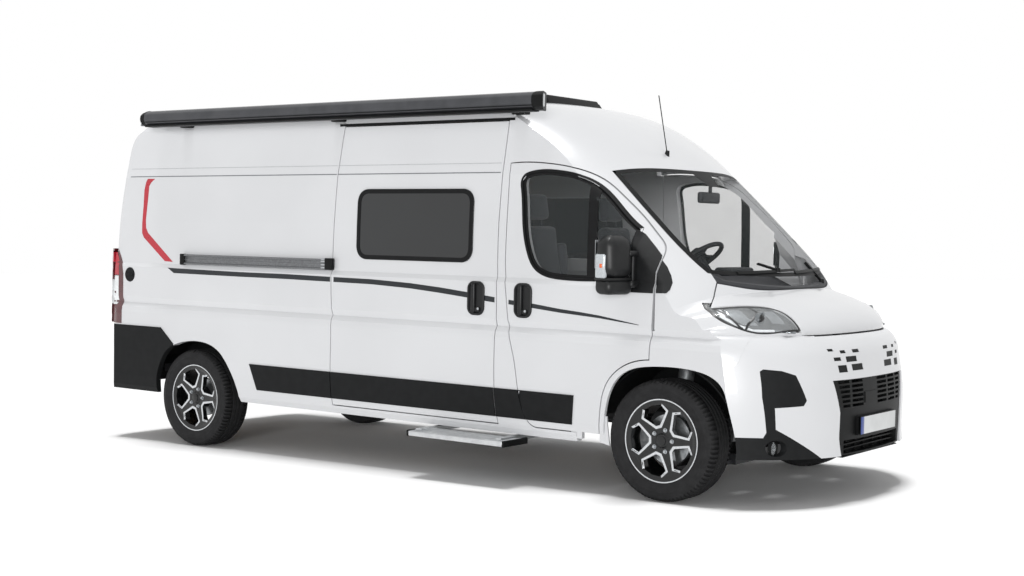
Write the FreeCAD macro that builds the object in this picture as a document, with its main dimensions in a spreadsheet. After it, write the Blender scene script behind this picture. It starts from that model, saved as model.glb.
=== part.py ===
import FreeCAD, Part
import math
import os
from FreeCAD import Vector, Placement, Rotation
import Sketcher

# High-roof camper van on a long panel-van body, modelled about the middle of its front axle.
# X runs forward, Y to the left and Z up, in millimetres, with the ground at zero height.
# Body panels are cut from one outer surface, so that every panel carries on the next one's form.

os.makedirs("parts", exist_ok=True)
doc = FreeCAD.newDocument("CamperVan")

# Driving sizes
sheet = doc.addObject("Spreadsheet::Sheet", "Sizes")
DRIVING = [
    ("wheelbase", 4035.0),
    ("front_overhang", 906.0),
    ("rear_overhang", 1015.0),
    ("body_width", 2040.0),
    ("roof_height", 2446.0),
    ("sill_height", 298.0),
    ("body_rake", 0.996),
    ("wall_thickness", 60.0),
    ("skin_thickness", 22.0),
    ("glass_thickness", 6.0),
    ("panel_gap", 7.0),
    ("front_track", 1810.0),
    ("rear_track", 1790.0),
    ("tyre_radius", 360.0),
    ("tyre_width", 245.0),
    ("rim_radius", 246.0),
    ("rim_depth", 205.0),
    ("hub_bore_radius", 33.0),
    ("hub_clearance", 0.3),
    ("kingpin_low", 195.0),
    ("kingpin_high", 880.0),
    ("kingpin_spread", 152.0),
    ("floor_height", 545.0),
    ("floor_thickness", 35.0),
    ("arch_gap_width", 1422.0),
    ("rail_spacing", 860.0),
    ("rail_width", 80.0),
    ("rail_depth", 120.0),
    ("tow_bore_radius", 8.5),
    ("rear_door_width", 1580.0),
    ("rear_door_sill", 505.0),
    ("sliding_door_width", 1405.0),
    ("awning_length", 3690.0),
    ("awning_depth", 150.0),
    ("awning_height", 112.0),
    ("mirror_reach", 1252.0),
    ("step_width", 768.0),
    ("step_tread", 250.0),
    ("steering_wheel_radius", 195.0),
    ("bed_height", 1130.0),
    ("worktop_height", 1430.0),
]
for row, (word, value) in enumerate(DRIVING, start=1):
    sheet.set("A%d" % row, word)
    sheet.set("B%d" % row, "%g" % value)
    sheet.setAlias("B%d" % row, word)
doc.recompute()


def size(word):
    return float(sheet.get(word))


wheelbase = size("wheelbase")
nose_x = size("front_overhang")
tail_x = -wheelbase - size("rear_overhang")
half_width = size("body_width") / 2
roof_z = size("roof_height")
sill_z = size("sill_height")
wall = size("wall_thickness")
skin = size("skin_thickness")
glass = size("glass_thickness")
gap = size("panel_gap")
hub_z = size("tyre_radius")
centre_x = (nose_x + tail_x) / 2
rake = size("body_rake")
floor_z = size("floor_height")
rear_hub_z = hub_z - wheelbase * math.sin(math.radians(rake))

# The wheels stand level on the ground; the body sits nose down about the front hubs.
level = Placement(Vector(-centre_x, 0, 0), Rotation())
raked = level * Placement(Vector(), Rotation(Vector(0, 1, 0), rake), Vector(0, 0, hub_z))
pieces = []


def keep(thing, label, place=raked):
    thing.Label = label
    pieces.append(thing)
    thing.Placement = place
    return thing


def feature(label, shape, place=raked):
    thing = doc.addObject("Part::Feature", label)
    thing.Shape = shape
    return keep(thing, label, place)


def mirror(shape):
    return shape.mirror(Vector(), Vector(0, 1, 0))


def both(shape):
    return Part.makeCompound([shape, mirror(shape)])


def curve(points):
    line = Part.BSplineCurve()
    line.interpolate(points)
    return line.toShape()


# Outlines are lists of runs: a run of two points is straight, a longer one is a smooth curve.
def moved_out(runs, by):
    points = []
    for run in runs:
        points += run[:-1]
    count = len(points)
    area = sum(points[i][0] * points[(i + 1) % count][1] - points[(i + 1) % count][0] * points[i][1]
               for i in range(count))
    turn = 1.0 if area > 0 else -1.0
    out = []
    for i in range(count):
        before, here, after = points[i - 1], points[i], points[(i + 1) % count]
        one = Vector(here[0] - before[0], here[1] - before[1], 0).normalize()
        two = Vector(after[0] - here[0], after[1] - here[1], 0).normalize()
        n1 = Vector(one.y, -one.x, 0) * turn
        n2 = Vector(two.y, -two.x, 0) * turn
        step = (n1 + n2) * (by / max(0.4, 1 + n1.dot(n2)))
        out.append((here[0] + step.x, here[1] + step.y))
    new, at = [], 0
    for run in runs:
        length = len(run) - 1
        new.append([out[(at + k) % count] for k in range(length + 1)])
        at += length
    return new


def closed(points):
    return [[points[i], points[(i + 1) % len(points)]] for i in range(len(points))]


def prism(runs, plane, low, high):
    edges = []
    for run in runs:
        if plane == "side":
            corners = [Vector(a, low, b) for a, b in run]
        elif plane == "front":
            corners = [Vector(low, a, b) for a, b in run]
        else:
            corners = [Vector(a, b, low) for a, b in run]
        if len(corners) == 2:
            edges.append(Part.LineSegment(corners[0], corners[1]).toShape())
        else:
            edges.append(curve(corners))
    ways = {"side": Vector(0, high - low, 0), "front": Vector(high - low, 0, 0), "plan": Vector(0, 0, high - low)}
    return Part.Face(Part.Wire(edges)).extrude(ways[plane])


def block(x0, x1, y0, y1, z0, z1):
    return Part.makeBox(x1 - x0, y1 - y0, z1 - z0, Vector(x0, y0, z0))


def rounded(x0, x1, z0, z1, r):
    q = 0.3 * r
    return [
        [(x0 + r, z0), (x1 - r, z0)],
        [(x1 - r, z0), (x1 - q, z0 + q), (x1, z0 + r)],
        [(x1, z0 + r), (x1, z1 - r)],
        [(x1, z1 - r), (x1 - q, z1 - q), (x1 - r, z1)],
        [(x1 - r, z1), (x0 + r, z1)],
        [(x0 + r, z1), (x0 + q, z1 - q), (x0, z1 - r)],
        [(x0, z1 - r), (x0, z0 + r)],
        [(x0, z0 + r), (x0 + q, z0 + q), (x0 + r, z0)],
    ]


# Outer surface of the body: lengthwise profiles lofted across, trimmed by the cross-section
def side_profile(y, inset):
    u = abs(y) / (half_width - 20 - inset * 0.9)
    nose = 5 + 110 * u ** 2 + 329 * u ** 4
    screen = 235 * u ** 2 + 90 * u ** 10
    crown = 45 * u ** 2 + 70 * u ** 10
    hood_drop = 30 * u ** 2 + 60 * u ** 8
    tail = 14 * u ** 2 + 75 * u ** 14
    low = sill_z if inset <= 0 else sill_z - 98
    front = [(4, low), (-3, 400), (0, 552), (-14, 740), (-31, 830), (-51, 914), (-86, 962), (-148, 995)]
    front = [(nose_x + x - nose - inset, z) for x, z in front]
    hood = [(-148, 995, 1.0, 0), (-158, 1050, 1.0, 0.1), (-206, 1112, 0.93, 0.4),
            (-308, 1165, 0.85, 0.4), (-428, 1208, 0.8, 0.48), (-518, 1240, 0, 0.48)]
    hood = [(nose_x + x - (nose * k if k else screen) - inset * 0.9, z - hood_drop * f * 2.5 - inset * 0.6)
            for x, z, k, f in hood]
    hood[0] = front[-1]
    lift = hood[-1][1] - 1240
    screen_line = [(430, 1240), (235, 1432), (38, 1620), (-165, 1806), (-369, 1985)]
    screen_line = [(x - screen - inset * 0.72,
                    z - inset * 0.7 + (lift + inset * 0.7) * (1 - i / 4) - crown * 0.6 * i / 4)
                   for i, (x, z) in enumerate(screen_line)]
    screen_line[0] = hood[-1]
    roof = [(-369, 1985, 0.6), (-590, 2172, 0.8), (-835, 2318, 0.95), (-1120, roof_z - 38, 1), (-1450, roof_z - 5, 1),
            (-2200, roof_z, 1), (tail_x + 1450, roof_z, 1), (tail_x + 600, roof_z - 6, 1),
            (tail_x + 400, roof_z - 31, 1), (tail_x + 275, roof_z - 91, 1)]
    roof = [(x - screen * (1 if i < 3 else 0.6 if i == 3 else 0) + (tail if i > 7 else 0), z - crown * k - inset)
            for i, (x, z, k) in enumerate(roof)]
    roof[0] = screen_line[-1]
    roof[-1] = (roof[-1][0] + inset * 0.7, roof[-1][1] + inset * 0.4)
    back = [(275, roof_z - 91), (205, roof_z - 206), (140, roof_z - 379), (78, 1760), (30, 1360),
            (9, 1000), (8, 600), (8, low)]
    back = [(tail_x + x + tail + inset, z) for x, z in back]
    back[0] = roof[-1]
    return front, hood, screen_line, roof, back


def outer_form(inset):
    wires = []
    for part in (-1.04, -0.966, -0.882, -0.745, -0.51, -0.235, 0, 0.235, 0.51, 0.745, 0.882, 0.966, 1.04):
        y = part * half_width
        runs = side_profile(y, inset)
        edges = [curve([Vector(x, y, z) for x, z in run]) for run in runs]
        start, end = runs[0][0], runs[-1][-1]
        edges.append(Part.LineSegment(Vector(end[0], y, end[1]), Vector(start[0], y, start[1])).toShape())
        wires.append(Part.Wire(edges))
    length = Part.makeLoft(wires, True, False)
    low = sill_z if inset <= 0 else sill_z - 98
    half = [(-35, low), (-16, 335), (-6, 415), (0, 600), (-2, 900), (-8, 938), (-29, 972), (-16, 1014),
            (-18, 1248), (-33, 1278), (-39, 1600), (-53, 1928), (-61, 1992), (-94, roof_z - 162),
            (-115, roof_z - 96), (-155, roof_z - 41), (-220, roof_z - 6), (-320, roof_z + 24)]
    half = [(half_width + y - inset, z - (inset if z > roof_z - 146 else 0)) for y, z in half]
    ring = [Vector(tail_x - 250, y, z) for y, z in half] + [Vector(tail_x - 250, -y, z) for y, z in reversed(half)]
    across = Part.Face(Part.makePolygon(ring + [ring[0]])).extrude(Vector(nose_x - tail_x + 500, 0, 0))
    return length.common(across)


forms = {}


# A layer is the part of a tool solid that lies between two depths below the outer surface
def form(inset):
    if inset not in forms:
        forms[inset] = outer_form(inset)
    return forms[inset]


def layer(near, far, tool):
    return tool.common(form(near)).cut(form(far))


outer = form(0)

# Outlines of the openings, seen from the side, the front and above
FRONT_DOOR = [
    [(-1158, 1993), (-1000, 1997), (-828, 1983), (-667, 1955), (-523, 1896), (-380, 1787), (-240, 1663),
     (-129, 1552), (-76, 1488), (-64, 1429)],
    [(-64, 1429), (-76, 1216)],
    [(-76, 1216), (-90, 832)],
    [(-90, 832), (-195, 814), (-300, 762), (-379, 676), (-417, 569), (-431, 452), (-434, 360)],
    [(-434, 360), (-886, 360)],
    [(-886, 360), (-950, 385), (-986, 440), (-1023, 544), (-1064, 757), (-1119, 960), (-1146, 1151),
     (-1168, 1343), (-1168, 1560), (-1164, 1775), (-1158, 1993)],
]
DOOR_GLASS = [
    [(-1058, 1858), (-1040, 1910), (-992, 1929), (-778, 1932), (-606, 1896), (-520, 1852), (-378, 1730), (-222, 1592)],
    [(-222, 1592), (-236, 1290)],
    [(-236, 1290), (-560, 1290), (-760, 1294), (-870, 1312), (-940, 1352), (-992, 1440), (-1029, 1596), (-1058, 1858)],
]
slide_rear = -1228 - size("sliding_door_width")
SLIDING_DOOR = [
    [(-1196, 358), (-1225, 600), (-1228, 1100), (-1238, 1388), (-1220, 1990), (-1205, 2262)],
    [(-1205, 2262), (slide_rear + 27, 2262)],
    [(slide_rear + 27, 2262), (slide_rear + 4, 2007), (slide_rear - 20, 1487), (slide_rear - 21, 1201),
     (slide_rear - 2, 847), (slide_rear - 2, 595), (slide_rear + 15, 358)],
    [(slide_rear + 15, 358), (-1196, 358)],
]
FRONT_ARCH = [
    [(-400, 150), (-398, 288), (-394, 450), (-366, 588), (-312, 694), (-235, 754), (-87, 790), (45, 797),
     (236, 784), (349, 747), (402, 700), (441, 586), (474, 426), (480, 150)],
    [(480, 150), (-400, 150)],
]
rear_mid = -wheelbase
REAR_ARCH = [
    [(rear_mid - 424, 150), (rear_mid - 416, 300), (rear_mid - 402, 430), (rear_mid - 345, 560),
     (rear_mid - 258, 650), (rear_mid - 114, 701), (rear_mid + 40, 715), (rear_mid + 192, 693),
     (rear_mid + 284, 647), (rear_mid + 390, 530), (rear_mid + 462, 400), (rear_mid + 486, 290), (rear_mid + 490, 150)],
    [(rear_mid + 490, 150), (rear_mid - 424, 150)],
]
SCREEN = [
    [(-798, 1948), (-584, 1972), (-217, 1979), (217, 1979), (584, 1972), (798, 1948)],
    [(798, 1948), (808, 1788), (811, 1621), (802, 1458), (762, 1342)],
    [(762, 1342), (527, 1326), (117, 1318), (-117, 1318), (-527, 1326), (-762, 1342)],
    [(-762, 1342), (-802, 1458), (-811, 1621), (-808, 1788), (-798, 1948)],
]
HOOD_SIDE = [(206, 745), (244, 884), (438, 706), (552, 620), (648, 594), (706, 508), (781, 250)]
HOOD = [
    [(206, -745), (311, -527), (384, -117), (384, 117), (311, 527), (206, 745)],
    [(206, 745), (244, 884)],
    [(244, 884), (438, 706), (552, 620), (648, 594), (706, 508)],
    [(706, 508), (748, 250), (757, 0), (748, -250), (706, -508)],
    [(706, -508), (648, -594), (552, -620), (438, -706), (244, -884)],
    [(244, -884), (206, -745)],
]
LAMP = [
    [(528, 997), (742, 1009), (847, 1009), (912, 1040), (943, 1105)],
    [(943, 1105), (892, 1172)],
    [(892, 1172), (704, 1169)],
    [(704, 1169), (618, 1144)],
    [(618, 1144), (593, 1077)],
    [(593, 1077), (528, 997)],
]
CLADDING = closed([(1040, 425), (893, 423), (881, 453), (900, 653), (898, 799), (884, 812), (807, 803), (740, 777),
                   (693, 633), (711, 603), (850, 593), (843, 471), (640, 330), (560, 270), (1040, 270)])
INTAKE = closed([(-501, 739), (-449, 552), (-449, 400), (-430, 270), (430, 270), (449, 400), (449, 552), (501, 739)])
BUMPER_SEAM = [(512, 1004), (472, 840), (396, 772), (372, 735)]


def side_cut(runs, by, side):
    low, high = (300, half_width + 40) if side > 0 else (-half_width - 40, -300)
    return prism(moved_out(runs, by), "side", low, high)


def flipped(runs):
    return [[(-y, z) for y, z in run] for run in runs]


# Roof of the load space with the cut-outs of two roof lights
roof_cut = roof_z - 156
roof = layer(0, wall, block(tail_x - 50, -1180, -half_width, half_width, roof_cut, roof_z + 60))
LIGHTS = [(-1760, 500, 600), (-3150, 700, 500), (rear_mid - 230, 400, 400)]
for x, along, across in LIGHTS:
    roof = roof.cut(block(x - along / 2, x + along / 2, -across / 2, across / 2, roof_z - 250, roof_z + 60))
feature("roof_panel", roof)

# Raised cab roof with the windscreen header and the two front pillars
cab_region = prism(closed([(-1180, roof_z + 60), (-1180, 1993), (-1000, 1990), (-640, 1900), (-62, 1440), (75, 1404),
                           (214, 1300), (420, 1240), (500, 1400), (-200, roof_z + 60)]),
                   "side", -half_width - 30, half_width + 30)
screen_hole = prism(moved_out(SCREEN, 0.5), "front", -700, 700)
cab = layer(0, wall, cab_region).cut(screen_hole)
for side in (-1, 1):
    cab = cab.cut(side_cut(FRONT_DOOR, gap, side))
cab = cab.cut(prism(moved_out(HOOD, gap), "plan", 900, 1500))
cab = cab.cut(block(90, 700, -770, 770, 1100, 1500))
feature("cab_roof", cab)

# Windscreen, bonded just inside its frame
feature("windscreen", layer(-1.0, glass, prism(SCREEN, "front", -700, 480)).cut(
    prism(moved_out(HOOD, gap), "plan", 900, 1500)))

# Cowl between the windscreen and the hood
cowl = layer(0, skin, block(60, 480, -745, 745, 1200, 1345))
cowl = cowl.cut(prism(moved_out(HOOD, gap), "plan", 900, 1500))
cowl = cowl.cut(prism(moved_out(SCREEN, 0.5), "front", -700, 700)).cut(cab_region)
feature("cowl", cowl)

# Front wings behind the bumper seam, with a leg behind each wheel
wing_region = prism(closed([(-600, 270), (-600, 900), (-62, 1000), (-62, 1440), (75, 1404), (214, 1300),
                            (240, 1215), (520, 1010)] + BUMPER_SEAM + [(480, 100), (-600, 100)]),
                    "side", 0, half_width + 30)
wing = layer(0, skin, wing_region)
wing = wing.cut(side_cut(FRONT_DOOR, gap, 1)).cut(side_cut(FRONT_ARCH, 0, 1))
wing = wing.cut(prism(moved_out(HOOD, gap), "plan", 900, 1500))
wing = wing.cut(prism(moved_out(LAMP, 0.5), "front", 120, 900))
wing = wing.cut(block(-700, 60, 0, 700, 100, 1500)).cut(block(60, 700, 0, 745, 1230, 1500))
wing = wing.cut(cab_region).cut(prism(moved_out(SCREEN, 0.5), "front", -100, 700))
wing = wing.cut(block(-700, -380, 0, half_width + 50, 100, 358)).cut(block(-700, -436 + gap, 0, half_width + 50, 100, 700))
feature("front_wings", both(wing))

# Hood, its own body on hinges at the cowl
hood = layer(0, skin, prism(HOOD, "plan", 996, 1500))
border = prism(HOOD, "plan", 900, 1500).cut(prism(moved_out(HOOD, -14), "plan", 900, 1500))
hood = hood.cut(border.common(form(8)))
feature("hood", hood)

# Headlamp housings
lamp = layer(0, 90, prism(LAMP, "front", 200, 800))
lamp = lamp.cut(prism(moved_out(HOOD, gap + 2), "plan", 900, 1500))
lamp = max(lamp.Solids, key=lambda solid: solid.Volume)
feature("headlamps", both(lamp))

# Front bumper with the lower intake left open
bumper_region = prism(closed([(1000, 270), (1000, 1012), (519, 1012)] + [(x + 0.6, z) for x, z in BUMPER_SEAM]
                             + [(395, 700), (440, 586), (474, 426), (480, 270)]), "side", -half_width - 20, half_width + 20)
bumper = layer(0, skin, bumper_region)
bumper = bumper.cut(prism(moved_out(HOOD, gap), "plan", 900, 1500)).cut(block(200, 1000, -510, 510, 995 - gap, 1100))
for runs in (LAMP, flipped(LAMP)):
    bumper = bumper.cut(prism(moved_out(runs, 0.5), "front", 120, 1100))
for runs in (CLADDING, flipped(CLADDING)):
    bumper = bumper.cut(prism(runs, "front", 120, 1100))
bumper = bumper.cut(prism(INTAKE, "front", 500, 1100))
SLOTS = [(453, 508, 905, 920), (336, 399, 890, 908), (176, 265, 889, 909), (395, 468, 849, 870),
         (219, 349, 838, 871), (342, 438, 781, 823), (155, 295, 786, 824)]
for y0, y1, z0, z1 in SLOTS:
    slot = prism(closed([(y0, z0), (y1 - 5, z0), (y1, z1), (y0 + 5, z1)]), "front", 640, 1100)
    bumper = bumper.cut(slot).cut(mirror(slot))
for side in (-1, 1):
    bumper = bumper.cut(side_cut(FRONT_ARCH, 0, side))
feature("front_bumper", bumper)

# Dark lower cladding round the fog lamps
clad = layer(0, skin, bumper_region.common(prism(CLADDING, "front", 120, 1100))).cut(side_cut(FRONT_ARCH, 0, 1))
clad = clad.cut(Part.makeCylinder(46, 400, Vector(500, 838, 363), Vector(1, 0, 0)))
feature("bumper_cladding", both(clad))

# Intake grille, set back in the bumper
grille = layer(skin * 0.4, skin + 16, prism(moved_out(INTAKE, -0.4), "front", 500, 1100).common(
    block(400, 1100, -600, 600, sill_z, 800)))
for z in (576, 604, 632, 660, 688, 716):
    for y0, y1 in ((-455, -330), (-306, -172), (26, 172), (196, 318), (342, 455)):
        grille = grille.cut(block(640, 1100, max(y0, -398 - (z - 552) * 0.28), min(y1, 398 + (z - 552) * 0.28), z, z + 17))
grille = grille.cut(block(640, 1100, -390, 390, 306, 384))
sensor = block(700, 1100, -155, 5, 590, 655).common(form(4)).cut(form(skin * 0.4 + 1))
plate = block(700, 1100, -260, 260, 405, 517).common(form(-8.0)).cut(form(skin * 0.4))
feature("grille", grille.fuse([sensor, plate]))

# Left side wall with its corner post and two window openings
side_region = prism(closed([(tail_x - 60, sill_z - 10), (tail_x - 60, roof_cut), (-1190, roof_cut),
                            (-1238 + 20, 1990), (-1228, 1388), (-1215, 600), (-1190, sill_z - 10)]),
                    "side", -half_width - 20, half_width + 20)
post_width = size("rear_door_width") / 2 + 5
BUMPER_CORNER = [
    [(tail_x - 60, 797), (rear_mid - 364, 797)],
    [(rear_mid - 364, 797), (rear_mid - 218, 679)],
    [(rear_mid - 218, 679), (rear_mid - 300, 500)],
    [(rear_mid - 300, 500), (rear_mid - 300, 200)],
    [(rear_mid - 300, 200), (tail_x - 60, 200)],
    [(tail_x - 60, 200), (tail_x - 60, 797)],
]
side_wall = layer(0, wall, side_region.common(block(tail_x - 60, 0, post_width, half_width + 40, sill_z - 10, roof_cut)))
side_wall = side_wall.cut(block(tail_x + 260, 0, 0, 860, sill_z - 10, roof_cut))
side_wall = side_wall.cut(side_cut(REAR_ARCH, 0, 1)).cut(side_cut(BUMPER_CORNER, 0, 1))
LEFT_WINDOWS = [(-2420, -1520, 1370, 1830), (rear_mid - 560, rear_mid + 140, 1370, 1700)]
left_wall = side_wall
lamp_low, lamp_high = 805, 1360
tail_recess = block(tail_x - 60, tail_x + 95.5, post_width + 59.5, half_width + 30, lamp_low - 0.5, lamp_high + 0.5).cut(form(skin))
for x0, x1, z0, z1 in LEFT_WINDOWS:
    left_wall = left_wall.cut(side_cut(rounded(x0, x1, z0, z1, 80), 0, 1))
left_wall = left_wall.cut(tail_recess)
feature("side_wall_left", left_wall)

# Right side wall behind the sliding door
right_wall = mirror(side_wall.cut(tail_recess)).cut(side_cut(SLIDING_DOOR, gap, -1)).cut(
    block(slide_rear + 15, 0, -half_width - 40, 0, 200, roof_z))
feature("side_wall_right", right_wall)

# Door posts and sills
sill_piece = layer(0, wall, block(-1300, -395, 700, half_width + 30, sill_z - 10, 1990))
sill_piece = sill_piece.cut(side_cut(FRONT_DOOR, gap, 1)).cut(side_cut(FRONT_ARCH, 0, 1)).cut(cab_region).cut(wing_region)
left_sill = sill_piece.cut(side_region)
right_sill = mirror(layer(0, wall, block(slide_rear + 15, -395, 700, half_width + 30, sill_z - 10, roof_cut)))
right_sill = right_sill.cut(side_cut(SLIDING_DOOR, gap, -1)).cut(side_cut(FRONT_DOOR, gap, -1)).cut(cab_region)
right_sill = right_sill.cut(side_cut(FRONT_ARCH, 0, -1)).cut(mirror(wing_region))
lug = block(-640, -560, half_width - 50, half_width - 22, sill_z + 20, 359.7)
feature("door_posts_and_sills", Part.makeCompound([left_sill.fuse(lug), right_sill.fuse(mirror(lug))]))

# Sliding door with its window opening
SLIDE_WINDOW = rounded(slide_rear + 198, slide_rear + 1198, 1362, 1837, 85)
slide = layer(0, wall, side_cut(SLIDING_DOOR, 0, -1).common(
    block(-4000, 0, -half_width - 20, -850, 300, roof_cut - 4))).cut(side_cut(SLIDE_WINDOW, 0, -1))
feature("sliding_door", slide)

# Hinged windows in the side walls, framed, standing a little proud of the skin
panes = [layer(-8.0, wall * 0.6, side_cut(SLIDE_WINDOW, -0.5, -1).common(block(-4000, 0, -1100, -850, 1200, 2000)))]
for x0, x1, z0, z1 in LEFT_WINDOWS:
    panes.append(layer(-8.0, wall * 0.6, side_cut(rounded(x0, x1, z0, z1, 80), -0.5, 1).common(
        block(tail_x, 0, 850, 1100, 1200, 2000))))
feature("side_windows", Part.makeCompound(panes))

# Front doors: the left one is drawn, the right one is its mirror image
door = layer(0, wall, side_cut(FRONT_DOOR, 0, 1).common(block(-1300, 0, 820, half_width + 30, 300, 2100)))
door = door.cut(side_cut(DOOR_GLASS, 0, 1))
pane = layer(8, 8 + glass, side_cut(DOOR_GLASS, -0.5, 1).common(block(-1300, 0, 820, half_width + 30, 1100, 2100)))
feature("door_left", door)
feature("door_right", mirror(door))
feature("door_glass_left", pane)
feature("door_glass_right", mirror(pane))

# Door mirrors on two arms, with the bare base of each on the door's front corner
reach = size("mirror_reach")
housing = Part.makeBox(150, 215, 330)
housing = housing.makeFillet(45, housing.Edges)
housing.translate(Vector(-330, reach - 215, 1225))
housing.rotate(Vector(-180, reach - 200, 1225), Vector(0, 0, 1), 14)
arm = block(-230, -170, half_width - 10, reach - 60, 1250, 1290).fuse(block(-230, -170, half_width - 10, reach - 60, 1390, 1425))
base = prism(closed([(-222, 1560), (-72, 1420), (-84, 1226), (-240, 1226)]), "side", half_width - 38, half_width - 5)
mirror_piece = housing.fuse([arm, base])

# Rear doors with windows, one leaf each side of the middle
leaf_edge = size("rear_door_width") / 2
leaf_low = size("rear_door_sill")
leaf = layer(0, wall, block(tail_x - 60, tail_x + 330, gap / 2, leaf_edge - 2, leaf_low, roof_cut - gap - 6))
leaf = leaf.cut(prism(rounded(95, leaf_edge - 95, 1330, 1960, 90), "front", tail_x - 80, tail_x + 330))
leaf_axis = Vector(0.11, 0, 1).normalize()
leaf_hinge = Placement(Vector(tail_x + 26, leaf_edge + 2, 1360), Rotation(Vector(0, 0, 1), leaf_axis))
relief = prism(closed([(-60, -leaf_edge - 40), (260, -leaf_edge - 40), (260, -leaf_edge + 24), (0, -leaf_edge + 2),
                       (-60, -leaf_edge + 2)]), "plan", -1000, 1100)
relief.Placement = leaf_hinge
leaf = leaf.cut(relief)
leaf_pane = layer(8, 8 + glass, prism(moved_out(rounded(95, leaf_edge - 95, 1330, 1960, 90), -1), "front",
                                      tail_x - 80, tail_x + 330))
feature("rear_door_left", leaf)
feature("rear_door_right", mirror(leaf))
feature("rear_glass_left", leaf_pane)
feature("rear_glass_right", mirror(leaf_pane))

# Rear bumper: two dark corners joined by a step across the back
corner = layer(-8.0, wall * 0.6, side_cut(BUMPER_CORNER, -0.5, 1).common(
    block(tail_x - 60, 0, post_width, half_width + 40, sill_z, 800))).cut(side_cut(REAR_ARCH, 0, 1))
corner = corner.cut(block(tail_x + 200, 0, 0, 900, 200, 900))
step_bar = layer(-8.0, 90, block(tail_x - 60, tail_x + 170, -post_width - 1, post_width + 1, 330, leaf_low - gap))
stops = [block(tail_x + 30, tail_x + 60, y0, y0 + 40, leaf_low - gap - 5, leaf_low - 0.3) for y0 in (-420, 380)]
feature("rear_bumper", corner.fuse([mirror(corner), step_bar] + stops))

# Tail lamps, upright on the corner posts
tail_block = block(tail_x - 60, tail_x + 95, post_width + 60, half_width + 30, lamp_low, lamp_high)
tail = layer(-8.0, skin, tail_block)
feature("tail_lamps", both(tail))

# Rub strips along the sills, one set of pieces for each panel
STRIP = closed([(rear_mid + 604, 583), (rear_mid + 680, 400), (-625, 400), (-613, 580)])
band = side_cut(STRIP, 0, 1).common(form(-8.0)).cut(outer)
left_fixed = band.cut(side_cut(FRONT_DOOR, 3, 1))
left_door = band.common(side_cut(FRONT_DOOR, -4, 1))
right_fixed = mirror(band).cut(side_cut(FRONT_DOOR, 3, -1)).cut(side_cut(SLIDING_DOOR, 3, -1))
right_slide = mirror(band).common(side_cut(SLIDING_DOOR, -4, -1))
feature("rub_strips", Part.makeCompound([left_fixed, right_fixed, right_slide]))
trim = Part.makeCompound([mirror_piece.cut(outer), left_door])
feature("door_trim_left", trim)
feature("door_trim_right", mirror(trim))


# Rail of the sliding door on the right side wall
rail_x = slide_rear - 30
rail_piece = prism(closed([(-half_width + 34, 1276), (-half_width + 6, 1280), (-half_width + 6, 1350), (-half_width + 38, 1355)]),
                   "front", rail_x - 1550, slide_rear + 20)
feature("slide_rail", rail_piece.cut(outer))

# Roof lights
lights = []
for x, along, across in LIGHTS:
    hatch = Part.makeBox(along + 90, across + 90, 60)
    hatch = hatch.makeFillet(22, [e for e in hatch.Edges if e.BoundBox.ZMin > 50 or e.BoundBox.ZLength > 50])
    hatch.translate(Vector(x - along / 2 - 45, -across / 2 - 45, roof_z + 0.5))
    throat = block(x - along / 2 + 0.5, x + along / 2 - 0.5, -across / 2 + 0.5, across / 2 - 0.5, roof_z - 55, roof_z + 3)
    throat = throat.cut(block(x - along / 2 + 14, x + along / 2 - 14, -across / 2 + 14, across / 2 - 14, roof_z - 56, roof_z - 6))
    lights.append(hatch.fuse(throat).cut(roof))
feature("roof_lights", Part.makeCompound(lights))

# Wind deflector ahead of the front roof light and the aerial above the windscreen
deflector = prism(closed([(-1312, roof_z - 25), (-1350, roof_z + 24), (-1376, roof_z + 24), (-1400, roof_z - 25)]), "side", -330, 318)
feature("roof_deflector", deflector.cut(outer))
aerial = Part.makeCone(18, 12, 42, Vector(-484, -200, 2062), Vector(0.2, 0, 1))
rod = Part.makeCylinder(3.2, 380, Vector(-480, -200, 2085), Vector(-0.19, 0, 1))
feature("aerial", aerial.fuse(rod).cut(outer))

# Awning cassette along the right roof edge on three brackets
long_case = size("awning_length")
deep = size("awning_depth")
tall = size("awning_height")
case_x = -4505
case_low = roof_z - 132
CASE = [[(0, 0), (deep * 0.75, 0)], [(deep * 0.75, 0), (deep * 0.96, tall * 0.18), (deep, tall * 0.5)],
        [(deep, tall * 0.5), (deep * 0.93, tall * 0.86), (deep * 0.7, tall)], [(deep * 0.7, tall), (0, tall)],
        [(0, tall), (0, 0)]]
case_y = half_width - 55
case_face = [[(-case_y - a, case_low + b) for a, b in run] for run in CASE]
case = prism(case_face, "front", case_x, case_x + long_case)
feet = []
for share in (0.08, 0.5, 0.92):
    x = case_x + long_case * share
    foot = prism(closed([(-case_y + 0.3, case_low + 4), (-case_y + 0.3, case_low + 60), (-half_width + 125, roof_z - 66),
                         (-half_width + 100, roof_z - 150)]), "front", x - 60, x + 60)
    feet.append(foot.cut(outer))
feature("awning", Part.makeCompound([case] + feet))

# Wipers parked at the foot of the windscreen
blade = []
for y0, y1 in ((-560, 60), (40, 660)):
    line = prism(closed([(y0, 1335), (y1, 1352), (y1, 1366), (y0, 1352)]), "front", 100, 500)
    blade.append(line.common(form(-8.0)).cut(form(-1.0)))
feature("wipers", Part.makeCompound(blade))


# Small helpers for primitives that take their sizes from the sheet
def bound(thing, **values):
    for name, value in values.items():
        thing.setExpression(name.replace("__", "."), value)
    return thing


def sheet_box(name, length, width, height, x, y, z):
    thing = doc.addObject("Part::Box", name)
    bound(thing, Length=length, Width=width, Height=height)
    bound(thing, Placement__Base__x=x, Placement__Base__y=y, Placement__Base__z=z)
    return thing


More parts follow.
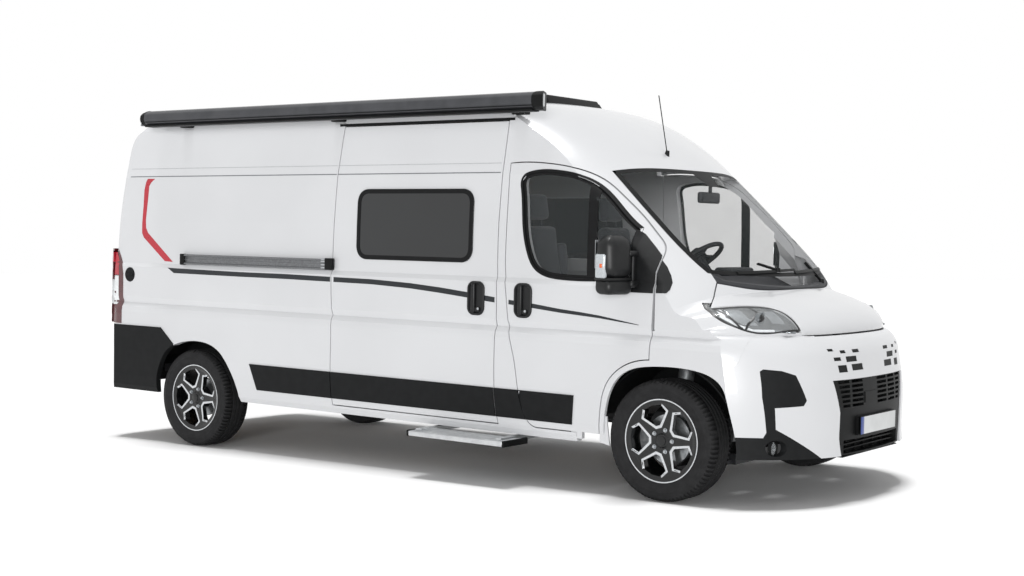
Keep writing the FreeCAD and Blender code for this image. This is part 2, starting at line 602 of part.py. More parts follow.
def sheet_cylinder(name, radius, height, x, y, z, axis):
    thing = doc.addObject("Part::Cylinder", name)
    thing.Placement = Placement(Vector(), Rotation(Vector(0, 0, 1), axis))
    bound(thing, Radius=radius, Height=height)
    bound(thing, Placement__Base__x=x, Placement__Base__y=y, Placement__Base__z=z)
    return thing


def fused(label, things, place=raked):
    whole = doc.addObject("Part::MultiFuse", label)
    whole.Shapes = things
    return keep(whole, label, place)


# Load floor as a pad with notches for the wheel housings
def body_of(label):
    body = doc.addObject("PartDesign::Body", label)
    return body


def plane_of(body, role):
    return [f for f in body.Origin.OriginFeatures if f.Role == role][0]


def sketch_on(body, name, role):
    sketch = body.newObject("Sketcher::SketchObject", name)
    sketch.AttachmentSupport = (plane_of(body, role), "")
    sketch.MapMode = "FlatFace"
    return sketch


def sketch_ring(sketch, points):
    for i in range(len(points)):
        a, b = points[i], points[(i + 1) % len(points)]
        sketch.addGeometry(Part.LineSegment(Vector(a[0], a[1], 0), Vector(b[0], b[1], 0)), False)
    for i in range(len(points)):
        sketch.addConstraint(Sketcher.Constraint("Coincident", i, 2, (i + 1) % len(points), 1))


inner = half_width - wall - 3
arch_half = size("arch_gap_width") / 2
housing_front = rear_mid + 470
housing_rear = rear_mid - 450
floor_body = body_of("floor")
floor_sketch = sketch_on(floor_body, "FloorOutline", "XY_Plane")
floor_front = -560
floor_back = tail_x + 115
outline = [(floor_front, 700), (floor_front - 60, inner), (housing_front, inner), (housing_front, arch_half),
           (housing_rear, arch_half), (housing_rear, inner - 60), (floor_back, inner - 60)]
sketch_ring(floor_sketch, outline + [(x, -y) for x, y in reversed(outline)])
floor_pad = floor_body.newObject("PartDesign::Pad", "FloorPad")
floor_pad.Profile = floor_sketch
floor_pad.setExpression("Length", "Sizes.floor_thickness")
keep(floor_body, "floor")
floor_body.Placement = raked * Placement(Vector(0, 0, floor_z - size("floor_thickness")), Rotation())

# Rear wheel housings that stand up through the load floor, open below
bridge = []
for side in (1, -1):
    y0, y1 = (arch_half, inner) if side > 0 else (-inner, -arch_half)
    tub = prism(closed([(housing_rear + 0.3, floor_z - 35), (housing_rear + 0.3, floor_z + 40), (rear_mid - 250, floor_z + 230),
                        (rear_mid + 250, floor_z + 230), (housing_front - 0.3, floor_z + 40), (housing_front - 0.3, floor_z - 35)]),
                "side", y0 + 0.3, y1 - 0.3)
    lid = prism(closed([(housing_rear + 9, floor_z - 40), (housing_rear + 9, floor_z + 34), (rear_mid - 246, floor_z + 222),
                        (rear_mid + 246, floor_z + 222), (housing_front - 9, floor_z + 34), (housing_front - 9, floor_z - 40)]),
                "side", y0 + 9 if side > 0 else y0 - 5, y1 + 5 if side > 0 else y1 - 9)
    bridge.append(tub.cut(lid))

# The kingpin axis, on which the strut, the arm's ball joint and the hub of a front wheel stand
kingpin_x = 0.0
foot_y = size("front_track") / 2 - 70
foot_z = size("kingpin_low")
top_z = size("kingpin_high")
top_y = foot_y - size("kingpin_spread")
pin = Vector(0, top_y - foot_y, top_z - foot_z).normalize()


def on_pin(z):
    return Vector(kingpin_x, foot_y + (z - foot_z) * pin.y / pin.z, z)


# Front wheel housings: half barrels over the steered wheels, closed on the inside
liners = []
tunnel = Part.makeCylinder(478, 400, Vector(0, 560, 330), Vector(0, 1, 0))
outer_barrel = Part.makeCylinder(486, 398, Vector(0, 552, 330), Vector(0, 1, 0))
liner = outer_barrel.cut(tunnel).cut(block(-600, 600, 500, 1000, -300, 470))
liner = liner.cut(Part.makeCylinder(60, 420, on_pin(560), pin))
feature("wheel_housings", Part.makeCompound(bridge + [liner, mirror(liner)]))

# Bulkhead below the windscreen between the engine and the cab
bulkhead = prism(closed([(-60, 1210), (-150, 900), (-559.7, 545), (-559.7, 515), (-500, 515), (-120, 880), (-30, 1210)]),
                 "side", -540, 540)
feature("bulkhead", bulkhead)

# Ladder frame under the floor
rail_x0 = "-Sizes.wheelbase - Sizes.rear_overhang + 180"
rails = []
for side, word in ((1, "Left"), (-1, "Right")):
    y = "Sizes.rail_spacing / 2 - Sizes.rail_width / 2" if side > 0 else "-Sizes.rail_spacing / 2 - Sizes.rail_width / 2"
    rails.append(sheet_box("Rail" + word, "Sizes.wheelbase + Sizes.rear_overhang - 400", "Sizes.rail_width", "Sizes.rail_depth",
                           rail_x0, y, "Sizes.floor_height - Sizes.floor_thickness - Sizes.rail_depth"))
frame_whole = doc.addObject("Part::MultiFuse", "FrameWhole")
frame_whole.Shapes = rails
bores = doc.addObject("Part::MultiFuse", "TowBores")
bores.Shapes = [sheet_cylinder("TowBore%d%s" % (i, word), "Sizes.tow_bore_radius", "Sizes.rail_depth - 20",
                               "-Sizes.wheelbase - Sizes.rear_overhang + %g" % x, y,
                               "Sizes.floor_height - Sizes.floor_thickness - Sizes.rail_depth", Vector(0, 0, 1))
                for i, x in enumerate((205, 285))
                for word, y in (("Left", "Sizes.rail_spacing / 2"), ("Right", "-Sizes.rail_spacing / 2"))]
frame_cut = doc.addObject("Part::Cut", "chassis_rails")
frame_cut.Base = frame_whole
frame_cut.Tool = bores
keep(frame_cut, "chassis_rails")

# Cross members between the rails and the outriggers that carry the floor's edges
half_gap = "Sizes.rail_spacing / 2 - Sizes.rail_width / 2"
members = []
for i, share in enumerate((0.07, 0.27, 0.45, 0.62, 0.8, 0.93)):
    x = rail_x0 + " + (Sizes.wheelbase + Sizes.rear_overhang - 460) * %g" % share
    z = "Sizes.floor_height - Sizes.floor_thickness - Sizes.rail_depth * 0.5"
    for word, width, y in (("Middle", "Sizes.rail_spacing - Sizes.rail_width", "-(%s)" % half_gap),
                           ("Left", "430", "Sizes.rail_spacing / 2 + Sizes.rail_width / 2"),
                           ("Right", "430", "-Sizes.rail_spacing / 2 - Sizes.rail_width / 2 - 430")):
        members.append(sheet_box("Member%s%d" % (word, i), "60", width, "Sizes.rail_depth * 0.5", x, y, z))
ladder = doc.addObject("Part::Compound", "cross_members")
ladder.Links = members
keep(ladder, "cross_members")

# Front subframe with lower arms, front rails, strut tops, steering rack and drive shafts
arm_plate = prism(closed([(-150, 380), (150, 380), (60, 600), (26, foot_y + 10), (-26, foot_y + 10), (-90, 600)]), "plan",
                  foot_z - 26, foot_z - 0.3)
tower = block(-70, 70, 545, top_y + 62, top_z + 22, top_z + 36).fuse(block(-70, 70, 486, 546, 470, top_z + 36))
seat = Part.makeCylinder(60, 30, on_pin(top_z) + pin * 0.4, pin)
shaft = Part.makeCylinder(14, 440, Vector(0, 320, hub_z), Vector(0, 1, 0))
half = arm_plate.fuse([tower, seat])
shaft_end = on_pin(hub_z).y - 38.4
shaft = Part.makeCylinder(14, shaft_end - 345, Vector(0, 345, hub_z), Vector(0, 1, 0))
frame_front = block(-219.7, 740, 486, 551.7, 420, 510).fuse(
    [block(-219.7, -170, 392, 500, 400, 500), block(240, 340, 330.3, 490, 430, 500),
     block(665.3, 740, 250, 300, 440, 500)])
cross = block(-190, 170, -400, 400, foot_z - 26, foot_z + 40)
post = block(-130, -70, 380, 500, foot_z, 430)
rack = Part.makeCylinder(24, 640, Vector(-160, -320, 285), Vector(0, 1, 0)).fuse(
    [block(-180, -140, -250, -210, foot_z, 280), block(-180, -140, 210, 250, foot_z, 280)])
beam = block(735, 775, -520, 520, 430, 520)
buffers = [block(690, 740, y0, y0 + 30, 500, 1100).common(form(skin + 0.3)) for y0 in (-200, 170)]
front_frame = half.fuse([mirror(half), frame_front, mirror(frame_front), cross, post, mirror(post), rack, beam] + buffers)
feature("front_suspension", front_frame)

# Engine and gearbox as one plain mass, with the drive shafts on it
motor = block(60, 560, -330, 330, 330, 905).fuse([block(-55, 120, -350, 350, 300, 430), shaft, mirror(shaft)])
motor = motor.cut(block(-70, 60, 240, 345, 430, 1000))
radiator = block(620, 665, -380, 380, 330, 850)
feature("engine", Part.makeCompound([motor, radiator]))


# Steering knuckle with strut, hub, brake disc and caliper; the mirror image serves the other side
def knuckle_shape():
    y = size("front_track") / 2
    face = y + 45
    hub = Part.makeCylinder(60, 12, Vector(0, face - 12.3, hub_z), Vector(0, 1, 0))
    spigot = Part.makeCylinder(size("hub_bore_radius") - size("hub_clearance"), 34, Vector(0, face - 14, hub_z), Vector(0, 1, 0))
    barrel = Part.makeCylinder(46, face - 8 - y + 80, Vector(0, y - 80, hub_z), Vector(0, 1, 0))
    disc = Part.makeCylinder(150, 24, Vector(0, y - 12, hub_z), Vector(0, 1, 0))
    grip = Part.makeCylinder(190, 62, Vector(0, y - 38, hub_z), Vector(0, 1, 0)).common(
        block(-200, -100, y - 40, y + 40, hub_z - 75, hub_z + 75))
    low = on_pin(foot_z + 20)
    carrier = Part.makeCylinder(28, 330, low, pin)
    ball = Part.makeSphere(20, low)
    joint = Part.makeSphere(38, on_pin(hub_z))
    strut = Part.makeCylinder(25, (on_pin(top_z) - on_pin(460)).Length, on_pin(460), pin)
    coil = Part.makeCylinder(48, (on_pin(866) - on_pin(694)).Length, on_pin(694), pin)
    lever = prism(closed([(-20, y - 100), (20, y - 100), (20, y - 72), (-120, y - 110), (-128, y - 132)]), "plan", hub_z - 70, hub_z - 48)
    return hub.fuse([spigot, barrel, disc, grip, carrier, ball, joint, strut, coil, lever])


knuckle = knuckle_shape()
feature("knuckle_left", knuckle, level)
feature("knuckle_right", mirror(knuckle), level)

# Rear dead axle: beam, stub hubs with brake discs, and leaf springs below the frame rails
y = size("rear_track") / 2
face = y + 45
beam = Part.makeCylinder(40, 1500, Vector(rear_mid, -750, hub_z - 40), Vector(0, 1, 0))
parts = []


def under_rail(x):
    return floor_z - size("floor_thickness") - size("rail_depth") - x * math.sin(math.radians(rake)) - 0.4


for side in (1, -1):
    way = Vector(0, side, 0)
    plate_y = (738, 800) if side > 0 else (-800, -738)
    parts += [block(rear_mid - 62, rear_mid + 62, plate_y[0], plate_y[1], hub_z - 95, hub_z + 70),
              Part.makeCylinder(46, face - 8 - 790, Vector(rear_mid, side * 790, hub_z), way),
              Part.makeCylinder(140, 16, Vector(rear_mid, side * (y - 14), hub_z), way),
              Part.makeCylinder(60, 12, Vector(rear_mid, side * (face - 12.3), hub_z), way),
              Part.makeCylinder(size("hub_bore_radius") - size("hub_clearance"), 34, Vector(rear_mid, side * (face - 14), hub_z), way)]
    low_y = size("rail_spacing") / 2 - 32
    leaf_points = [(-640, 424), (-330, 378), (0, hub_z + 2), (330, 372), (640, 408)]
    upper = [(a, b + 26) for a, b in reversed(leaf_points)]
    spring = prism([[(rear_mid + a, b) for a, b in leaf_points], [(rear_mid + 640, 408), (rear_mid + 640, 434)],
                    [(rear_mid + a, b) for a, b in upper], [(rear_mid - 640, 450), (rear_mid - 640, 424)]],
                   "side", side * low_y if side > 0 else -low_y - 64, low_y + 64 if side > 0 else -low_y)
    saddle = block(rear_mid - 55, rear_mid + 55, low_y if side > 0 else -low_y - 64, low_y + 64 if side > 0 else -low_y,
                   hub_z - 40, hub_z + 6)
    parts += [spring, saddle,
              block(rear_mid - 665, rear_mid - 615, low_y if side > 0 else -low_y - 64, low_y + 64 if side > 0 else -low_y,
                    424, under_rail(rear_mid - 615)),
              block(rear_mid + 615, rear_mid + 665, low_y if side > 0 else -low_y - 64, low_y + 64 if side > 0 else -low_y,
                    408, under_rail(rear_mid + 665))]
feature("rear_axle", beam.fuse(parts), level)


# Tyres and rims, revolved about their own axles
def revolved(label, points, place):
    body = body_of(label)
    sketch = sketch_on(body, label + "_profile", "XY_Plane")
    sketch_ring(sketch, points)
    turn = body.newObject("PartDesign::Revolution", label + "_turn")
    turn.Profile = sketch
    turn.ReferenceAxis = (sketch, ["V_Axis"])
    turn.Angle = 360
    keep(body, label, place)
    return body, sketch


broad = size("tyre_width") / 2
big = size("tyre_radius")
seat_r = size("rim_radius") - 17
deep_rim = size("rim_depth") / 2
TYRE = [(seat_r + 0.3, -deep_rim + 8), (seat_r + 18, -deep_rim + 8), (seat_r + 34, -broad + 6), (seat_r + 62, -broad),
        (big - 42, -broad + 2), (big - 16, -broad + 14), (big - 4, -broad + 32), (big, -broad + 56), (big, 0)]
TYRE = TYRE + [(a, -b) for a, b in reversed(TYRE[:-1])]
RIM = [(seat_r, -deep_rim + 6), (seat_r + 17, -deep_rim + 4), (seat_r + 17, -deep_rim), (seat_r - 14, -deep_rim),
       (seat_r - 17, 34), (150, 47), (64, 45), (size("hub_bore_radius"), 45), (size("hub_bore_radius"), 68), (0, 68), (0, 98),
       (36, 97), (46, 86), (78, 86), (150, 88), (seat_r - 22, 93), (seat_r - 4, deep_rim - 3), (seat_r + 17, deep_rim),
       (seat_r + 17, deep_rim - 5), (seat_r, deep_rim - 7), (seat_r, 60), (seat_r - 9, 40), (seat_r - 9, -30), (seat_r, -60)]
RIM_WINDOW = [(-17, 86), (17, 86), (86, 157), (64, 202), (0, 213), (-64, 202), (-86, 157)]
WHEELS = [("front_left", 0.0, 1, "front_track"), ("front_right", 0.0, -1, "front_track"),
          ("rear_left", rear_mid, 1, "rear_track"), ("rear_right", rear_mid, -1, "rear_track")]
for word, x, side, track in WHEELS:
    spot = level * Placement(Vector(x, side * size(track) / 2, hub_z), Rotation(Vector(0, 0, 1), 0 if side > 0 else 180))
    revolved("tyre_" + word, TYRE, spot)
    rim, rim_sketch = revolved("rim_" + word, RIM, spot)
    doc.recompute()
    window = sketch_on(rim, "rim_window_" + word, "XZ_Plane")
    spoke_turn = math.radians(18 * side)
    sketch_ring(window, [(a * math.cos(spoke_turn) - b * math.sin(spoke_turn), a * math.sin(spoke_turn) + b * math.cos(spoke_turn))
                         for a, b in RIM_WINDOW])
    cut = rim.newObject("PartDesign::Pocket", "rim_pocket_" + word)
    cut.Profile = window
    cut.Type = 1
    cut.Midplane = True
    doc.recompute()
    ring = rim.newObject("PartDesign::PolarPattern", "rim_pattern_" + word)
    ring.Originals = [cut]
    ring.Axis = (plane_of(rim, "Y_Axis"), [""])
    ring.Angle = 360
    ring.Occurrences = 5
    rim.Tip = ring

# Tanks, exhaust and the housing of the entrance step, below the floor
tank_top = floor_z - size("floor_thickness") - size("rail_depth") / 2 - 0.3
tanks = [block(-2420, -1560, 500, 900, 290, tank_top), block(-3300, -2560, -370, 370, 300, tank_top)]
pipe = Part.makeCylinder(28, 2250, Vector(-120, -200, 345), Vector(-1, 0, 0))
silencer = Part.makeCylinder(78, 520, Vector(-1900, -200, 345), Vector(-1, 0, 0))
outlet = Part.makeCylinder(28, 560, Vector(-2360, -200, 345), Vector(-0.5, -1, 0))
feature("tanks_and_exhaust", Part.makeCompound(tanks + [pipe.fuse([silencer, outlet, block(-1180, -1160, -212, -188, 345, tank_top)])]))

step_mid = -1390.0
step_half = size("step_width") / 2
tread = size("step_tread")
step_low = 245.0
guides = [block(step_mid - step_half, step_mid + step_half, -half_width - 180, -half_width - 180 + tread, step_low, step_low + 28)]
for x in (step_mid - step_half + 40, step_mid + step_half - 80):
    guides.append(block(x, x + 40, -half_width - 150, -640, step_low + 14, step_low + 45))
fixed = [block(step_mid - step_half - 10, step_mid + step_half + 10, -half_width + 90, -470, step_low + 45.3, step_low + 66)]
for x in (step_mid - step_half + 60, step_mid + step_half - 100):
    fixed.append(block(x, x + 40, -470, -392, step_low + 45.3, 389.7))
feature("entrance_step", guides[0].fuse(guides[1:]))
feature("step_housing", fixed[0].fuse(fixed[1:]))

# Dashboard with the steering column
dash = prism(closed([(-75, 1222), (-250, 1300), (-400, 1290), (-430, 1180), (-380, 1000), (-345, 856), (-262, 856),
                     (-215, 1000)]), "side", -840, 840)
shelf = prism(closed([(-76, 1222), (215, 1228), (215, 1212), (-76, 1210.3)]), "side", -680, 680)
wheel_mid = Vector(-600, 450, 1400)
lean = Vector(-0.6, 0, 0.8)
column = Part.makeCylinder(38, 330, wheel_mid - lean * 330.4, lean)
feature("dashboard", dash.fuse([shelf, column]))

turn_ring = Part.makeTorus(size("steering_wheel_radius") - 16, 16, wheel_mid, lean)
boss = Part.makeCylinder(62, 44, wheel_mid, lean)
spokes = []
for side in (1, -1):
    bar = Part.makeBox(size("steering_wheel_radius") - 20, 44, 16, Vector(0, -22, 4))
    bar.Placement = Placement(wheel_mid, Rotation(Vector(0, 0, 1), lean)) * Placement(Vector(), Rotation(Vector(0, 0, 1), 90 * side))
    spokes.append(bar)
down = Part.makeBox(size("steering_wheel_radius") - 20, 36, 16, Vector(0, -18, 4))
down.Placement = Placement(wheel_mid, Rotation(Vector(0, 0, 1), lean)) * Placement(Vector(), Rotation(Vector(0, 0, 1), 180))
feature("steering_wheel", turn_ring.fuse([boss, down] + spokes))

# Cab seats on plinths
plinth = block(-1190, -800, 270, 650, floor_z + 0.3, 800)
pad = Part.makeBox(520, 470, 150, Vector(-1240, 225, 800))
pad = pad.makeFillet(40, [e for e in pad.Edges if e.BoundBox.ZMin > 900 or e.BoundBox.ZLength > 100])
rest = prism(closed([(-1240, 930), (-1120, 930), (-1225, 1600), (-1260, 1640), (-1330, 1610)]), "side", 235, 685)
head = Part.makeBox(80, 250, 170, Vector(-1350, 335, 1655))
head = head.makeFillet(30, head.Edges)
stems = block(-1316, -1304, 395, 407, 1600, 1680).fuse(block(-1316, -1304, 513, 525, 1600, 1680))
chair = plinth.fuse([pad, rest, head, stems])
feature("cab_seats", both(chair))

# Living area: galley, bench with table, tall cupboard and rear bed
top = size("worktop_height") - 80
galley = block(slide_rear + 30, slide_rear + 760, -half_width + wall + 45, -430, floor_z + 0.3, top)
bench = block(-2060, -1480, 420, half_width - wall - 45, floor_z + 0.3, 980).fuse(
    block(-2150, -2060, 420, half_width - wall - 45, floor_z + 0.3, 1330))
cupboard = block(slide_rear - 720, slide_rear - 30, 200, half_width - wall - 110, floor_z + 0.3, roof_z - 160)
feature("living_units", Part.makeCompound([galley, bench, cupboard]))
bed = size("bed_height")
mattress = block(tail_x + 190, tail_x + 1560, -half_width + wall + 45, half_width - wall - 45, bed - 130, bed)
bed_legs = block(tail_x + 1500, tail_x + 1560, -600, 600, floor_z + 0.3, bed - 120)
feature("rear_bed", mattress.fuse(bed_legs))

# Every object is checked before anything is written
doc.recompute()
for thing in doc.Objects:
    if "Invalid" in thing.State or "Error" in thing.State:
        raise RuntimeError("failed object " + thing.Name)
for thing in pieces:
    if thing.Shape.isNull() or not thing.Shape.isValid() or not thing.Shape.Solids:
        raise RuntimeError("bad shape " + thing.Label)
for thing in pieces:
    thing.Shape.exportStep("parts/%s.step" % thing.Label)
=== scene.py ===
# High-roof camper van: a painted steel shell with dark grained plastic trim along its lower edge.
# Glass is bonded or rubber-framed, lamps sit behind clear covers, wheels are cast alloy with turned faces.
# An anodised awning case is bolted along the right roof edge and an alloy step slides out below the door.
import bmesh
import bpy
import math
from mathutils import Matrix, Vector
from mathutils.bvhtree import BVHTree


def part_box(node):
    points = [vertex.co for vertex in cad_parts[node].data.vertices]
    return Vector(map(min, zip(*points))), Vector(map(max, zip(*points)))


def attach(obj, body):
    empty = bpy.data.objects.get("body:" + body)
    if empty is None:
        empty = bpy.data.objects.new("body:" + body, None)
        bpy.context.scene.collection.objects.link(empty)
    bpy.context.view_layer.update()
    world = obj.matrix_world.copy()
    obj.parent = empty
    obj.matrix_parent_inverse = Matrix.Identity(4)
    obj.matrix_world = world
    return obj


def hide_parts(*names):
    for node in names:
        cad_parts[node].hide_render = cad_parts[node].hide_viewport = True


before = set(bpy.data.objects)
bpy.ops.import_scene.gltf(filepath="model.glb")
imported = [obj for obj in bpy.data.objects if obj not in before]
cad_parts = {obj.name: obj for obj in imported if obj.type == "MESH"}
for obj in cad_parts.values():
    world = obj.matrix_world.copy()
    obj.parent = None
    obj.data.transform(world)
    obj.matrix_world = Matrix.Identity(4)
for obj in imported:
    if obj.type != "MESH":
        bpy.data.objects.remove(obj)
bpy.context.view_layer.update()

# White painted body panels: pressed steel doors, walls and wings under a roof, all in one solid coat
# A clear lacquer over the colour carries the sharp reflection and a faint waviness


def linear(code):
    parts = [int(code[i:i + 2], 16) / 255 for i in (1, 3, 5)]
    return tuple(p / 12.92 if p <= 0.04045 else ((p + 0.055) / 1.055) ** 2.4 for p in parts) + (1.0,)


# Settings in lower case are the node's own, the others are its sockets
def add(tree, kind, settings=None, links=None):
    node = tree.nodes.new(kind)
    for key, value in (settings or {}).items():
        if isinstance(key, str) and key.islower():
            setattr(node, key, value)
        else:
            node.inputs[key].default_value = value
    for key, output in (links or {}).items():
        tree.links.new(output, node.inputs[key])
    return node


# A bare material, its tree, and the object's own coordinates as the link that textures take
def start_material(name):
    material = bpy.data.materials.new(name)
    material.use_nodes = True
    tree = material.node_tree
    tree.nodes.clear()
    place = add(tree, "ShaderNodeTexCoord")
    return material, tree, {"Vector": place.outputs["Object"]}


# The surface that a material ends in
def close_material(tree, settings, links):
    body = add(tree, "ShaderNodeBsdfPrincipled", settings, links)
    add(tree, "ShaderNodeOutputMaterial", links={"Surface": body.outputs["BSDF"]})


# Two near colours mottled at one grain size, a range of roughness and a fine relief, sizes in millimetres
def coating(name, light, dark, grain, rough, relief, fine, sockets=None):
    material, tree, spot = start_material(name)
    broad = add(tree, "ShaderNodeTexNoise", {"Scale": 1000 / grain, "Detail": 3.0}, spot)
    small = add(tree, "ShaderNodeTexNoise", {"Scale": 1000 / fine, "Detail": 2.0}, spot)
    shade = add(tree, "ShaderNodeValToRGB", links={"Fac": broad.outputs["Fac"]})
    shade.color_ramp.elements[0].position = 0.36
    shade.color_ramp.elements[0].color = linear(dark)
    shade.color_ramp.elements[1].position = 0.64
    shade.color_ramp.elements[1].color = linear(light)
    shine = add(tree, "ShaderNodeMapRange", {"To Min": rough[0], "To Max": rough[1]},
                {"Value": small.outputs["Fac"]})
    bump = add(tree, "ShaderNodeBump", {"Distance": relief / 1000}, {"Height": small.outputs["Fac"]})
    close_material(tree, sockets, {"Base Color": shade.outputs["Color"], "Roughness": shine.outputs["Result"],
                                   "Normal": bump.outputs["Normal"]})
    return material


paint = coating("white_lacquered_paint", "#c6c7c9", "#c2c3c5", 900, (0.26, 0.34), 0.02, 9,
                {"Coat Weight": 0.5, "Coat Roughness": 0.04, "Specular IOR Level": 0.4})


def dress(material, names):
    for name in names:
        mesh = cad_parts[name].data
        mesh.materials.clear()
        mesh.materials.append(material)


dress(paint, ["roof_panel", "cab_roof", "front_wings", "hood", "front_bumper", "side_wall_left",
              "side_wall_right", "door_posts_and_sills", "sliding_door", "door_left", "door_right",
              "rear_door_left", "rear_door_right"])

# Grained black plastic of the cladding, rub strips, bumper corners and small trim, all injection-moulded
# Its leather grain breaks up the highlight, so that the plastic reads dull beside the paint
plastic = coating("grained_black_plastic", "#151617", "#111213", 60, (0.5, 0.66), 0.12, 1.4,
                  {"Specular IOR Level": 0.14})
dress(plastic, ["bumper_cladding", "rub_strips", "rear_bumper", "slide_rail", "roof_deflector",
                "door_trim_left", "door_trim_right"])
dark_plastic = coating("deep_black_plastic", "#0e0f10", "#0a0b0b", 50, (0.4, 0.55), 0.08, 1.2,
                       {"Specular IOR Level": 0.14})
dress(dark_plastic, ["grille", "wipers", "aerial", "wheel_housings"])

# Anodised awning case, extruded aluminium with a dark satin oxide skin
# The fine relief gives its highlight a soft edge beside the black caps
anodised = coating("dark_anodised_aluminium", "#47484b", "#3f4043", 120, (0.3, 0.42), 0.03, 2.2,
                   {"Metallic": 0.55, "Specular IOR Level": 0.5})
dress(anodised, ["awning"])

# Cab glass: clear laminated windscreen and tinted toughened door glass, see-through with a sharp surface
# A faint mottling of the clearness stands for dust and haze, and each pane counts on its near face only


def pane(name, tint, thin, thick):
    material, tree, spot = start_material(name)
    haze = add(tree, "ShaderNodeTexNoise", {"Scale": 6.0, "Detail": 4.0}, spot)
    clear = add(tree, "ShaderNodeMapRange", {"To Min": thin, "To Max": thick}, {"Value": haze.outputs["Fac"]})
    side = add(tree, "ShaderNodeNewGeometry")
    near = add(tree, "ShaderNodeMath", {"operation": "SUBTRACT", 0: 1.0}, {1: side.outputs["Backfacing"]})
    cover = add(tree, "ShaderNodeMath", {"operation": "MULTIPLY"},
                {0: clear.outputs["Result"], 1: near.outputs["Value"]})
    shine = add(tree, "ShaderNodeMapRange", {"To Min": 0.02, "To Max": 0.05}, {"Value": haze.outputs["Fac"]})
    close_material(tree, {"Base Color": linear(tint), "Specular IOR Level": 0.8, "IOR": 1.5},
                   {"Alpha": cover.outputs["Value"], "Roughness": shine.outputs["Result"]})
    return material


screen_glass = pane("laminated_screen_glass", "#3c4443", 0.08, 0.13)
door_glass = pane("tinted_door_glass", "#2b3132", 0.32, 0.4)
rear_glass = pane("dark_rear_glass", "#22262a", 0.86, 0.9)
dress(screen_glass, ["windscreen"])
dress(door_glass, ["door_glass_left", "door_glass_right"])
dress(rear_glass, ["rear_glass_left", "rear_glass_right"])

# Acrylic camping windows: double dark panes that look solid from outside
# They are cast sheets with a hard glossy face
acrylic = coating("dark_tinted_acrylic", "#0f1214", "#0c0e10", 400, (0.06, 0.1), 0.01, 60,
                  {"Coat Weight": 0.4})
dress(acrylic, ["side_windows"])

# Rubber, iron, steel and enamel of the running gear and the frame below the floor
# Cast parts show sand texture and dull grey, enamelled parts a slightly dusty black
rubber = coating("carbon_black_rubber", "#202021", "#19191a", 40, (0.62, 0.82), 0.15, 2.0,
                 {"Specular IOR Level": 0.2})
cast_iron = coating("sand_cast_iron", "#77797a", "#5c5e60", 25, (0.4, 0.62), 0.25, 2.5, {"Metallic": 0.8})
enamel = coating("black_chassis_enamel", "#26272a", "#1d1e20", 90, (0.38, 0.6), 0.1, 6,
                 {"Specular IOR Level": 0.4})
dress(rubber, ["tyre_front_left", "tyre_front_right", "tyre_rear_left", "tyre_rear_right"])
dress(cast_iron, ["engine", "knuckle_left", "knuckle_right"])
dress(enamel, ["chassis_rails", "cross_members", "front_suspension", "rear_axle", "tanks_and_exhaust",
               "step_housing"])
gloss_black = coating("gloss_black_wheel_paint", "#0d0e0f", "#090a0a", 70, (0.2, 0.3), 0.02, 5,
                      {"Coat Weight": 0.25, "Coat Roughness": 0.08, "Specular IOR Level": 0.35})
dress(gloss_black, ["rim_front_left", "rim_front_right", "rim_rear_left", "rim_rear_right"])

# Inside: soft-grained dashboard plastic, oak-faced furniture boards, floor boards and woven seat cloth
# The milky roof lights and the satin alloy of the step are finished here too
dash_plastic = coating("soft_dash_plastic", "#2c2d30", "#252629", 30, (0.55, 0.72), 0.15, 1.6,
                       {"Specular IOR Level": 0.35})
dress(dash_plastic, ["dashboard", "steering_wheel", "bulkhead", "cowl"])


def board(name, light, dark, width, stretch):
    material, tree, spot = start_material(name)
    spread = add(tree, "ShaderNodeMapping", {"Scale": stretch}, spot)
    grain = add(tree, "ShaderNodeTexNoise", {"Scale": 1000 / width, "Detail": 6.0, "Distortion": 0.6},
                {"Vector": spread.outputs["Vector"]})
    shade = add(tree, "ShaderNodeValToRGB", links={"Fac": grain.outputs["Fac"]})
    shade.color_ramp.elements[0].position = 0.35
    shade.color_ramp.elements[0].color = linear(dark)
    shade.color_ramp.elements[1].position = 0.68
    shade.color_ramp.elements[1].color = linear(light)
    bump = add(tree, "ShaderNodeBump", {"Distance": 0.0001}, {"Height": grain.outputs["Fac"]})
    close_material(tree, {"Roughness": 0.45},
                   {"Base Color": shade.outputs["Color"], "Normal": bump.outputs["Normal"]})
    return material


oak = board("oak_faced_board", "#b59a76", "#8f7552", 28, (0.12, 1.0, 1.0))
dress(oak, ["living_units"])
planks = board("floor_planks", "#8c7458", "#6b563f", 40, (0.1, 1.0, 1.0))
dress(planks, ["floor"])
roof_acrylic = coating("milky_roof_acrylic", "#c9cdd0", "#bfc4c7", 300, (0.1, 0.2), 0.02, 30,
                       {"Coat Weight": 0.4, "Subsurface Weight": 0.1})
dress(roof_acrylic, ["roof_lights"])
step_alloy = coating("satin_step_aluminium", "#c9cbcc", "#b9bbbd", 60, (0.28, 0.42), 0.04, 1.5,
                     {"Metallic": 0.85})
dress(step_alloy, ["entrance_step"])
seat_cloth = coating("woven_seat_cloth", "#4b4d52", "#3d3f44", 12, (0.75, 0.92), 0.4, 1.8,
                     {"Sheen Weight": 0.35, "Specular IOR Level": 0.2})
dress(seat_cloth, ["cab_seats", "rear_bed"])

